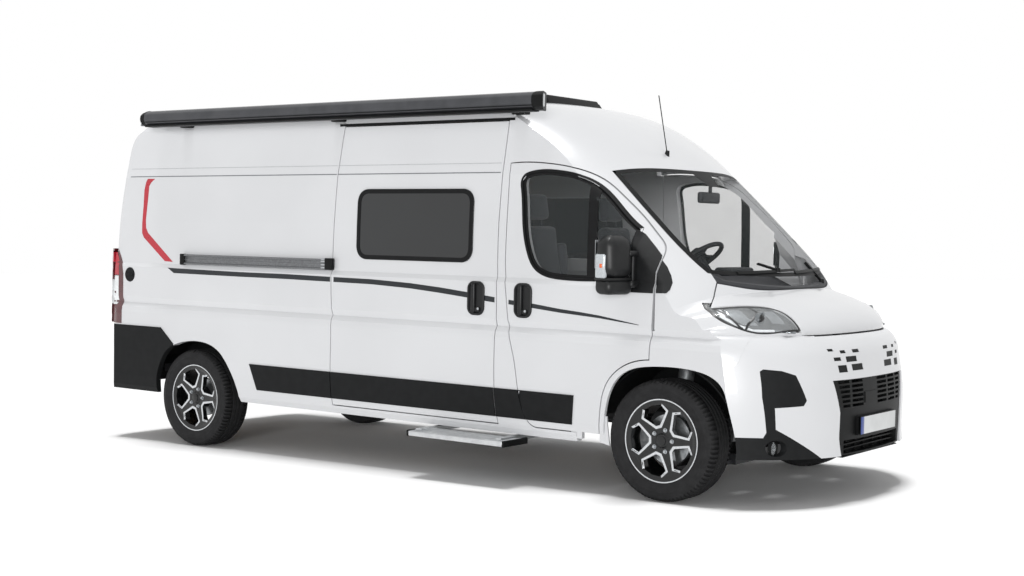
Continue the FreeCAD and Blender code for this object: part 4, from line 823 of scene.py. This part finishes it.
for word, side in (("right", -1), ("left", 1)):
    cover = lamp_shell(side)
    thicken(cover, REAR, 2.0)
    piece("headlamp_cover_" + word, cover, clear_cover, "van")
    housing = lamp_shell(side)
    middle = sum((v.co for v in housing.verts), Vector()) / len(housing.verts)
    for v in housing.verts:
        v.co = middle + (v.co - middle) * 0.985
        v.co.x -= 0.038
    thicken(housing, REAR, 3.0)
    tub = piece("headlamp_housing_" + word, housing, lamp_black, "van")
    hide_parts("headlamps")
    guide = [(742, 1020), (846, 1021), (896, 1050), (922, 1104), (884, 1158), (872, 1154), (905, 1104),
             (884, 1062), (842, 1036), (742, 1034)]
    piece("headlamp_guide_" + word, in_lamp(guide, 12, 4, side), glow, "van")
    steps = []
    for y, z in ((668, 1064), (685, 1066), (702, 1068), (719, 1070)):
        steps.append(in_lamp([(y, z), (y + 13, z), (y + 17, 1136), (y + 4, 1132)], 16, 6, side))
    outer_step = [(866, 1062), (892, 1104), (862, 1148), (812, 1146), (822, 1100), (806, 1056)]
    steps.append(in_lamp(outer_step, 20, 4, side))
    steps.append(in_lamp([(632, 1020), (742, 1034), (742, 1020), (640, 1008)], 14, 4, side))
    piece("headlamp_steps_" + word, merged(steps), silver_step, "van")
    seat = drop(raked(800, side * 772, 1092), FRONT, lamp_skin, -26)
    barrel = lathe([(0.01, 0), (30, -4), (36, -14), (36, 12), (40, 14), (40, 18), (30, 18)], 48)
    ball = bmesh.new()
    bmesh.ops.create_uvsphere(ball, u_segments=32, v_segments=20, radius=29)
    bmesh.ops.scale(ball, vec=(1, 0.5, 1), verts=ball.verts[:])
    bmesh.ops.translate(ball, vec=(0, 14, 0), verts=ball.verts[:])
    face_forward = Matrix.Translation(seat) @ Matrix.Scale(0.001, 4) @ rotation(-90, "Z")
    piece("headlamp_projector_ring_" + word, barrel, silver_step, "van", face_forward)
    piece("headlamp_projector_" + word, ball, gloss_black, "van", face_forward)
    loop = [loop for loop in outer_loops("headlamps", FRONT, -0.14) if loop[0].y * side > 0][0]
    bezel = band_on(loop, (-12, -1), FRONT, lamp_skin, 0.3, 0.8, 0.012)
    piece("headlamp_rim_" + word, bezel, lamp_black, "van")

# Black plastic inserts behind the bumper's slots, which close them a few millimetres in
# The grille has a dark backing, and level slats with uprights stand in its lowest opening
bumper_skin = skin_of("front_bumper")
inserts = []
for y0, y1, z0, z1 in ((453, 508, 905, 920), (336, 399, 890, 908), (176, 265, 889, 909), (395, 468, 849, 870),
                       (219, 349, 838, 871), (342, 438, 781, 823), (155, 295, 786, 824)):
    for side in (-1, 1):
        corners = ((y0 - 5, z0 - 4), (y1 + 1, z0 - 4), (y1 + 5, z1 + 4), (y0 - 1, z1 + 4))
        insert = bmesh.new()
        spots = [drop(raked(1000, side * y, z), FRONT, bumper_skin, -5) for y, z in corners]
        insert.faces.new([insert.verts.new(p) for p in spots])
        thicken(insert, FRONT, 2.0)
        inserts.append(insert)
piece("bumper_slot_inserts", merged(inserts), dark_plastic, "van")
backing = soft_box((800, -400, 286), (808, 400, 745), 3, 2)
bottom = soft_box((704, -400, 284), (866, 400, 291), 2, 2)
slats = [soft_box((822, -392, z), (848, 392, z + 9), 3, 2) for z in (322, 350)]
slats += [soft_box((808, y, 292), (822, y + 8, 390), 2, 2) for y in (-260, -130, 0, 130, 260)]
slats += [soft_box((770, y, 292), (858, y + 5, 388), 2, 2) for y in (-391, 386)]
piece("grille_backing", merged([backing, bottom] + slats), dark_plastic, "van", to_body)

# Fog lamps in the lower cladding: silvered bowl, clear disc and a black ring
# Each is pressed into a round seat and faces straight ahead
clad_skin = skin_of("bumper_cladding")
fog_y, fog_z, fog_radius = 838, 363, 58
for word, side in (("right", -1), ("left", 1)):
    rim_at = [drop(raked(800, side * (fog_y + y), fog_z + z), FRONT, clad_skin, 0)
              for y, z in ((fog_radius, 0), (-fog_radius, 0), (0, fog_radius), (0, -fog_radius))]
    middle = sum(rim_at, Vector()) / 4
    place = (Matrix.Translation(middle + Vector((-0.012, 0, 0))) @ rotation(-90, "Z")
             @ Matrix.Scale(0.001, 4))
    ring = lathe([(37, -20), (45.5, -20), (45.5, 1), (43, 2), (37, -6)], 64)
    piece("fog_lamp_ring_" + word, ring, dark_plastic, "van", place)
    bowl = lathe([(0.01, -24), (20, -22), (37, -12), (37, -14.5), (20, -25), (0.01, -27)], 48)
    piece("fog_lamp_bowl_" + word, bowl, silver_step, "van", place)
    disc = lathe([(0.01, -6), (37, -9), (37, -11.5), (0.01, -8.5)], 48)
    piece("fog_lamp_cover_" + word, disc, clear_cover, "van", place)

# Number plates front and rear: blank pressed aluminium with a plain blue end, in a dark rim
# The front one is clipped to the grille's panel, the rear one to the bumper
plate_white = coating("reflective_plate_face", "#c6c8c8", "#c0c2c2", 80, (0.25, 0.35), 0.02, 2)
plate_blue = coating("blue_plate_end", "#1f3f8f", "#1a377f", 40, (0.25, 0.35), 0.02, 2)


# A slab on the surface at x, from near to far out and from y0 to y1 as seen from its own front
def plate_slab(x, z, ahead, near, far, y0, y1, half, radius, segments):
    x0, x1 = sorted((x + ahead * near, x + ahead * far))
    y0, y1 = sorted((ahead * y0, ahead * y1))
    return soft_box((x0, y0, z - half), (x1, y1, z + half), radius, segments)


for word, start, z, ahead, way, node in (("front", 900, 461, 1, FRONT, "grille"),
                                         ("rear", -5000, 440, -1, REAR, "rear_bumper")):
    x = (to_body.inverted() @ drop(raked(start, 0, z), way, skin_of(node), 0)).x
    rim = plate_slab(x, z, ahead, 0.5, 4.5, -260, 260, 56, 1.8, 3)
    piece("plate_rim_" + word, rim, dark_plastic, "van", to_body)
    face = plate_slab(x, z, ahead, 4.0, 5.8, -211, 255, 51, 0.8, 2)
    piece("plate_face_" + word, face, plate_white, "van", to_body)
    end = plate_slab(x, z, ahead, 4.0, 5.8, -255, -212, 51, 0.8, 2)
    piece("plate_end_" + word, end, plate_blue, "van", to_body)

# Awning case: one drawn aluminium profile with rounded shoulders, and moulded caps on both ends
# The cloth's lead bar shows as a black line below, and a small bright hook holds it at the rear
CASE = [(-966, 2314), (-1072, 2314), (-1106, 2332), (-1116, 2362), (-1112, 2398), (-1090, 2418),
        (-1060, 2426), (-966, 2426)]


def case_length(x0, x1, by, slant):
    bm = bmesh.new()
    middle = Vector((x0, -1040, 2370))
    ring = []
    for y, z in CASE:
        corner = Vector((x0, y, z))
        ring.append(bm.verts.new(corner + (corner - middle).normalized() * by))
    end = bmesh.ops.extrude_face_region(bm, geom=[bm.faces.new(ring)])
    for v in new_points(end):
        v.co.x = x1 - (v.co.y + 1116) * slant
    long = [e for e in bm.edges if abs(e.verts[0].co.x - e.verts[1].co.x) > 20]
    rounded(bm, long, 7, 4)
    return bm


case_rear, case_front = -4500, -900
case = piece("awning_case", case_length(case_rear, case_front, 0, 0), anodised, "van", to_body)
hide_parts("awning")
rear_cap = case_length(case_rear - 38, case_rear, 2.5, 0)
for v in rear_cap.verts:
    v.co.z -= 10 if v.co.x < case_rear - 30 and v.co.z > 2380 else 0
front_cap = case_length(case_front, case_front + 85, 2.5, 0.52)
brackets = [soft_box((x - 50, -970, 2300), (x + 50, -900, 2360), 6, 3) for x in (-4210, -2660, -1110)]
end_caps = merged([rear_cap, front_cap] + brackets)
piece("awning_end_caps", end_caps, dark_plastic, "van", to_body)
lead_bar = soft_box((case_rear, -1104, 2304), (case_front - 5, -1020, 2318), 4, 3)
seam_bar = soft_box((case_rear, -1117.5, 2336), (case_front, -1106, 2340), 1.5, 2)
piece("awning_lead_bar", merged([seam_bar, lead_bar]), dark_plastic, "van", to_body)
hook = soft_box((-4542, -1112, 2312), (-4534, -1070, 2352), 3, 3)
tip = soft_box((-838, -1102, 2330), (-829, -1070, 2408), 3, 3)
piece("awning_hook_and_tip", merged([hook, tip]), step_alloy, "van", to_body)

# Entrance step: a drawn alloy board that slides out below the door
# Its tread is ribbed, its front edge is rounded and black end caps close its sides
ribs = [soft_box((-1766, -1190 + i * 22, 272.5), (-1014, -1182 + i * 22, 277), 1.5, 2) for i in range(10)]
nose_bar = soft_box((-1768, -1206, 243), (-1012, -1192, 275), 6, 4)
piece("step_tread_ribs", merged(ribs + [nose_bar]), step_alloy, "entrance_step", to_body)
caps = [soft_box((x, -1208, 240), (x + 16, -950, 280), 5, 3) for x in (-1782, -1014)]
piece("step_end_caps", merged(caps), dark_plastic, "entrance_step", to_body)

# Tail lamp covers where they turn round the rear corners, moulded acrylic in three colours
# Dark red runs along the edge, with a bright field above and a clear notch below it
glossy = {"Coat Weight": 0.8}
edge_red = coating("deep_red_lamp_acrylic", "#4d0b12", "#43090f", 40, (0.1, 0.18), 0.05, 4, glossy)
field_red = coating("bright_red_lamp_acrylic", "#a9142a", "#9a1024", 40, (0.1, 0.18), 0.05, 4, glossy)
field_clear = coating("clear_lamp_acrylic_field", "#d9dcdd", "#cccfd0", 40, (0.1, 0.18), 0.05, 4, glossy)
TAIL_EDGE = [(-5040, 1382), (-4941, 1382), (-4906, 1320), (-4872, 1245), (-4862, 1190), (-4858, 806),
             (-5040, 806)]
TAIL_TOP = [(-5036, 1352), (-4950, 1352), (-4926, 1300), (-4912, 1250), (-4910, 1180), (-5036, 1180)]
TAIL_NOTCH = [(-5036, 1172), (-4912, 1172), (-4910, 985), (-4928, 950), (-5036, 950)]
FIELDS = (("edge", TAIL_EDGE, 0.2, 3.8, edge_red, "lamp_red"),
          ("field", TAIL_TOP, 3.8, 1.0, field_red, "lamp_red"),
          ("notch", TAIL_NOTCH, 3.8, 1.0, field_clear, "lamp_clear"))
for word, side, way in SIDES:
    skin = skin_of("side_wall_" + word, "tail_lamps")
    for name, outline, lift, thick, colour, slot in FIELDS:
        cover = sheet_on(beside(side * wall_y, outline), way, skin, 0.02, lift, thick)
        piece("tail_lamp_%s_%s" % (name, word), cover, colour, "van")

# Lower ends of the front wings behind the front wheels
# They are folded steel, painted with the body
for word, side, way in SIDES:
    corners = beside(side * 1003, ((-428, 372), (-396, 372), (-394, 470), (-380, 470), (-376, 420),
                                   (-358, 296), (-428, 312)))
    bm = bmesh.new()
    bm.faces.new([bm.verts.new(p) for p in corners])
    thicken(bm, -way, 10.0)
    piece("wing_lower_end_" + word, bm, paint, "van")

# Wiper arms: pressed steel arms and their pivot caps, lacquered black
# Each arm is screwed to a spindle in the cowl and lies along the foot of the screen
cowl_skin = skin_of("cowl", "hood", "windscreen")
arms = []
for pivot, tip_at in (((302, -160), (252, -330)), ((300, 470), (250, 330))):
    start = drop(raked(pivot[0], pivot[1], 1250), TOP, cowl_skin, 6)
    end = drop(raked(tip_at[0], tip_at[1], 1250), TOP, cowl_skin, 12)
    knob = cone(32, 0.02, 0.016, 0.026)
    bmesh.ops.translate(knob, vec=start, verts=knob.verts[:])
    arms.append(knob)
    half = (end - start).length / 2
    turn = Vector((1, 0, 0)).rotation_difference(end - start).to_matrix().to_4x4()
    place = Matrix.Translation((start + end) / 2) @ turn
    arms.append(soft_box((-half, -0.009, -0.006), (half, 0.009, 0.006), 0.003, 2, place))
piece("wiper_arms", merged(arms), dark_plastic, "van")

# Rear doors: a moulded pull handle on a plate, the number lamp bar and the painted hinge straps
# The straps are bolted along the outer edges, and the high brake lamp sits in the roof's rear edge
leaf_skin = {"left": skin_of("rear_door_left"), "right": skin_of("rear_door_right")}
for word, side in (("left", 1), ("right", -1)):
    body = "rear_door_" + word
    for number, z in enumerate((720, 1230, 1900)):
        at = to_body.inverted() @ drop(raked(-5000, side * 730, z), REAR, leaf_skin[word], 0)
        y0, y1 = sorted((side * 690, side * 778))
        strap = soft_box((at.x - 9, y0, z - 26), (at.x + 3, y1, z + 26), 4, 3)
        piece("rear_hinge_%s_%d" % (word, number + 1), strap, paint, body, to_body)
at = to_body.inverted() @ drop(raked(-5000, 60, 1120), REAR, leaf_skin["left"], 0)
plate = soft_box((at.x - 6, 18, 1010), (at.x + 4, 92, 1230), 4, 3)
grip = soft_box((at.x - 30, 30, 1030), (at.x - 6, 62, 1210), 9, 4)
ends = [soft_box((at.x - 20, 30, z), (at.x, 62, z + 26), 6, 3) for z in (1030, 1184)]
handle = merged([plate, grip] + ends)
piece("rear_door_handle", handle, mirror_shell, "rear_door_left", to_body)
at = to_body.inverted() @ drop(raked(-5000, -240, 860), REAR, leaf_skin["right"], 0)
lamp_bar = soft_box((at.x - 12, -390, 850), (at.x + 4, -90, 880), 5, 3)
piece("rear_plate_lamp_bar", lamp_bar, dark_plastic, "rear_door_right", to_body)
roof_skin = skin_of("roof_panel")
brake_line = [raked(-4800, y, z) for y, z in ((-190, 2330), (190, 2330), (186, 2352), (-186, 2352))]
red_lamp = coating("red_lamp_acrylic", "#a31418", "#861014", 6, (0.08, 0.16), 0.2, 4, {"Coat Weight": 0.8})
piece("high_brake_lamp", sheet_on(brake_line, REAR, roof_skin, 0.04, 0.0, 6.0), red_lamp, "van")

# Wind deflector across the roof ahead of the roof lights: a hollow black moulding with a sloped front
# It is screwed down at its ends and its skirt follows the roof
foot, slope = 2404, 0.6
deflector = soft_box((-1398, -338, foot), (-1300, 296, foot + 84), 9, 4)
for v in deflector.verts:
    v.co.x -= (v.co.z - foot) * slope if v.co.x > -1350 else 0.0
piece("deflector_wing", deflector, dark_plastic, "van", to_body)

# Roof lights: a milky acrylic dome over each opening, in a grey clamp frame
# The frames are bolted down over a bead of sealer
frame_grey = coating("grey_moulded_frame", "#6b6e72", "#5f6266", 20, (0.4, 0.55), 0.06, 1.5)
roof_top = 2446


# A plate round an opening of the roof, wider than it by an edge, between two heights over the roof's top
def roof_plate(opening, edge, low, high, radius, segments):
    x, along, across = opening
    half_x, half_y = along / 2 + edge, across / 2 + edge
    return soft_box((x - half_x, -half_y, roof_top + low), (x + half_x, half_y, roof_top + high), radius,
                    segments)


for number, opening in enumerate(((-1760, 500, 600), (-3150, 700, 500), (-4265, 400, 400))):
    clamp = roof_plate(opening, 48, 0, 22, 8, 4)
    piece("roof_light_clamp_%d" % (number + 1), clamp, frame_grey, "van", to_body)
    dome = roof_plate(opening, 6, 44, 68, 11, 5)
    piece("roof_light_dome_%d" % (number + 1), dome, roof_acrylic, "van", to_body)

# Cab seats, bench and bed: foam under woven cloth, sewn from panels with piped seams
# Each panel is blown up under light pressure so that the cloth crowns between its seams
piping = coating("woven_piping", "#8c8f94", "#7c7f84", 6, (0.7, 0.85), 0.2, 1.2, {"Sheen Weight": 0.3})


def cushion_mesh(low, high, radius, cell, turn=None):
    bm = soft_box(low, high, radius, 3, turn)
    for axis in (Vector((1, 0, 0)), Vector((0, 1, 0)), Vector((0, 0, 1))):
        places = [v.co.dot(axis) for v in bm.verts]
        count = int((max(places) - min(places)) / cell)
        for i in range(1, count):
            at = min(places) + (max(places) - min(places)) * i / count
            bmesh.ops.bisect_plane(bm, geom=bm.verts[:] + bm.edges[:] + bm.faces[:], dist=0.01,
                                   plane_co=axis * at, plane_no=axis)
    return bm


# Cloth pressure alone, with no point moved by more than the given length in metres
def inflate(obj, most):
    start = [v.co.copy() for v in obj.data.vertices]
    cloth = obj.modifiers.new("Pressure", "CLOTH")
    cloth.settings.use_pressure = True
    cloth.settings.uniform_pressure_force = 4.0
    cloth.settings.effector_weights.gravity = 0.0
    cloth.settings.quality = 5
    frames = 20
    for number in range(1, frames + 1):
        bpy.context.scene.frame_set(number)
    shape = obj.evaluated_get(bpy.context.evaluated_depsgraph_get()).data
    ends = [v.co.copy() for v in shape.vertices]
    obj.modifiers.remove(cloth)
    for vertex, new, old in zip(obj.data.vertices, ends, start):
        move = new - old
        if move.length > most:
            move *= most / move.length
        vertex.co = old + move
    bpy.context.scene.frame_set(1)


def smooth_once(obj):
    step = obj.modifiers.new("Smooth", "SUBSURF")
    step.levels = 1
    step.render_levels = 1


for word, side in (("left", 1), ("right", -1)):
    flip = Matrix.Scale(side, 4, (0, 1, 0))
    hip = (-1180, 0, 930)
    lean = rotation(-9, "Y", hip)
    panels = [cushion_mesh((-1230, 300, 820), (-724, 620, 948), 34, 32),
              cushion_mesh((-1230, 228, 815), (-740, 298, 962), 26, 26),
              cushion_mesh((-1230, 622, 815), (-740, 692, 962), 26, 26),
              cushion_mesh((-1250, 300, 950), (-1150, 620, 1625), 36, 34, lean),
              cushion_mesh((-1250, 238, 960), (-1125, 298, 1500), 24, 28, lean),
              cushion_mesh((-1250, 622, 960), (-1125, 682, 1500), 24, 28, lean),
              cushion_mesh((-1246, 338, 1662), (-1166, 582, 1830), 32, 26, lean)]
    seat = piece("cab_seat_cushions_" + word, merged(panels), seat_cloth, "van", to_body @ flip)
    inflate(seat, 0.009)
    smooth_once(seat)
    if side > 0:
        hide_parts("cab_seats")
    shell = soft_box((-1292, 262, 960), (-1240, 658, 1560), 22, 4, lean)
    base = soft_box((-1190, 270, 548), (-800, 650, 800), 14, 3)
    tray = soft_box((-1236, 240, 796), (-736, 680, 826), 12, 3)
    stems = [soft_box((-1216, y, 1600), (-1204, y + 12, 1690), 4, 3, lean) for y in (395, 513)]
    lever = soft_box((-1100, 222, 800), (-980, 240, 824), 6, 3)
    hard_parts = merged([shell, base, tray, lever] + stems)
    piece("cab_seat_frame_" + word, hard_parts, dash_plastic, "van", to_body @ flip)
    cords = [soft_box((-1222, y, 944), (-744, y + 5, 950), 2, 2) for y in (297, 619)]
    piece("cab_seat_piping_" + word, merged(cords), piping, "van", to_body @ flip)
bed_panels = [cushion_mesh((x, -905, 1010), (x + 446, 905, 1128), 34, 48) for x in (-4852, -4400, -3948)]
mattress = piece("bed_mattress", merged(bed_panels), piping, "van", to_body)
inflate(mattress, 0.012)
smooth_once(mattress)
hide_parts("rear_bed")
frame_bars = [soft_box((-4860, -912, 994), (-3495, 912, 1010), 4, 2),
              soft_box((-3550, -600, 548), (-3490, 600, 1000), 4, 2)]
piece("bed_frame", merged(frame_bars), oak, "van", to_body)
bench_panels = [cushion_mesh((-2054, 426, 982), (-1486, 908, 1075), 30, 34),
                cushion_mesh((-2058, 430, 1080), (-1980, 905, 1420), 28, 34)]
bench = piece("bench_cushions", merged(bench_panels), seat_cloth, "van", to_body)
inflate(bench, 0.01)
smooth_once(bench)

# Dashboard fittings: instrument hood, middle screen and air vents, with the steering wheel's pad
# They are moulded in the dashboard's plastic and clipped in, and the inner mirror hangs from the screen
screen_black = coating("black_display_glass", "#101114", "#0c0d0f", 80, (0.06, 0.1), 0.0, 40,
                       {"Coat Weight": 0.6})
hood_part = soft_box((-400, 300, 1285), (-250, 600, 1352), 22, 5)
stack = soft_box((-436, -130, 1040), (-395, 150, 1300), 16, 4)
shelf = soft_box((-446, -800, 1168), (-400, 820, 1196), 10, 3)
piece("dash_fittings", merged([hood_part, stack, shelf]), dash_plastic, "van", to_body)
display = soft_box((-444, -105, 1190), (-434, 125, 1290), 3, 3)
piece("dash_display", display, screen_black, "van", to_body)
vents = [soft_box((-438, y, 1212), (-428, y + 110, 1268), 5, 3) for y in (-790, -280, 170, 690)]
piece("dash_vents", merged(vents), screen_black, "van", to_body)
tilt = Vector((0, 0, 1)).rotation_difference(Vector((-0.6, 0, 0.8))).to_matrix().to_4x4()
column = Matrix.Translation((-600, 450, 1400)) @ tilt
hub_pad = soft_box((-58, -74, 30), (66, 74, 58), 18, 5)
piece("steering_wheel_pad", hub_pad, dash_plastic, "steering_wheel", to_body @ column)
inner_mirror = soft_box((-300, -125, 1770), (-262, 125, 1842), 16, 5)
stalk = soft_box((-280, -12, 1830), (-262, 12, 1880), 5, 3)
piece("inner_mirror", merged([inner_mirror, stalk]), dash_plastic, "van", to_body)

# Ground: one plain pale sheet that keeps the van's soft shadow
# A matt face with hardly any fleck, as painted studio board has
ground_mesh = bmesh.new()
bmesh.ops.create_grid(ground_mesh, x_segments=1, y_segments=1, size=60.0)
mesh = bpy.data.meshes.new("ground")
ground_mesh.to_mesh(mesh)
ground_mesh.free()
ground = bpy.data.objects.new("ground", mesh)
bpy.context.scene.collection.objects.link(ground)
matt, tree, spot = start_material("matt_white_ground")
fleck = add(tree, "ShaderNodeTexNoise", {"Scale": 0.8}, spot)
tone = add(tree, "ShaderNodeMapRange", {"To Min": 0.93, "To Max": 0.95}, {"Value": fleck.outputs["Fac"]})
body = add(tree, "ShaderNodeBsdfDiffuse", links={"Color": tone.outputs["Result"]})
add(tree, "ShaderNodeOutputMaterial", links={"Surface": body.outputs["BSDF"]})
mesh.materials.append(matt)

# Light: an even pale surround, a broad soft sun overhead and a low one from the camera's side
# The high one keeps the ground white and the space below the van dark, the low one lifts the near side
world = bpy.data.worlds.new("surround")
bpy.context.scene.world = world
world.use_nodes = True
tree = world.node_tree
tree.nodes.clear()
ray = add(tree, "ShaderNodeLightPath")
first = add(tree, "ShaderNodeMath", {"operation": "ADD"},
            {0: ray.outputs["Is Camera Ray"], 1: ray.outputs["Is Glossy Ray"]})
seen = add(tree, "ShaderNodeMath", {"operation": "ADD", "use_clamp": True},
           {0: first.outputs["Value"], 1: ray.outputs["Is Transmission Ray"]})
power = add(tree, "ShaderNodeMapRange", {"To Min": 0.42, "To Max": 1.0}, {"Value": seen.outputs["Value"]})
sky = add(tree, "ShaderNodeBackground", {"Color": (1.0, 1.0, 1.0, 1.0)},
          {"Strength": power.outputs["Result"]})
add(tree, "ShaderNodeOutputWorld", links={"Surface": sky.outputs["Background"]})
for name, way, soft, strength in (("high_sun", (0.04, 0.02, -1.0), 14, 2.3),
                                  ("low_sun", (-0.5, 0.86, -0.06), 20, 2.5)):
    light = bpy.data.lights.new(name, "SUN")
    light.angle = math.radians(soft)
    light.energy = strength
    lamp = bpy.data.objects.new(name, light)
    lamp.rotation_euler = Vector(way).to_track_quat("-Z", "Y").to_euler()
    bpy.context.scene.collection.objects.link(lamp)

# Camera at the photograph's viewing angle, about eleven metres off and below eye height
# It is rolled by a fifth of a degree, as the photograph is
azimuth = math.radians(36.648)
elevation = math.radians(1.558)
roll = math.radians(0.196)
back = Vector((math.sin(azimuth) * math.cos(elevation), -math.cos(azimuth) * math.cos(elevation),
               math.sin(elevation)))
right = Vector((math.cos(azimuth), math.sin(azimuth), 0))
up = back.cross(right)
tilted = right * math.cos(roll) + up * math.sin(roll)
upright = up * math.cos(roll) - right * math.sin(roll)
lens = bpy.data.cameras.new("camera")
lens.sensor_width = 36.0
lens.lens = 52.685
lens.dof.use_dof = False
camera = bpy.data.objects.new("camera", lens)
turn = Matrix((tilted, upright, back)).transposed().to_4x4()
camera.matrix_world = Matrix.Translation((6.5776, -8.5239, 1.4878)) @ turn
bpy.context.scene.collection.objects.link(camera)
bpy.context.scene.camera = camera
bpy.context.scene.view_settings.view_transform = "Standard"
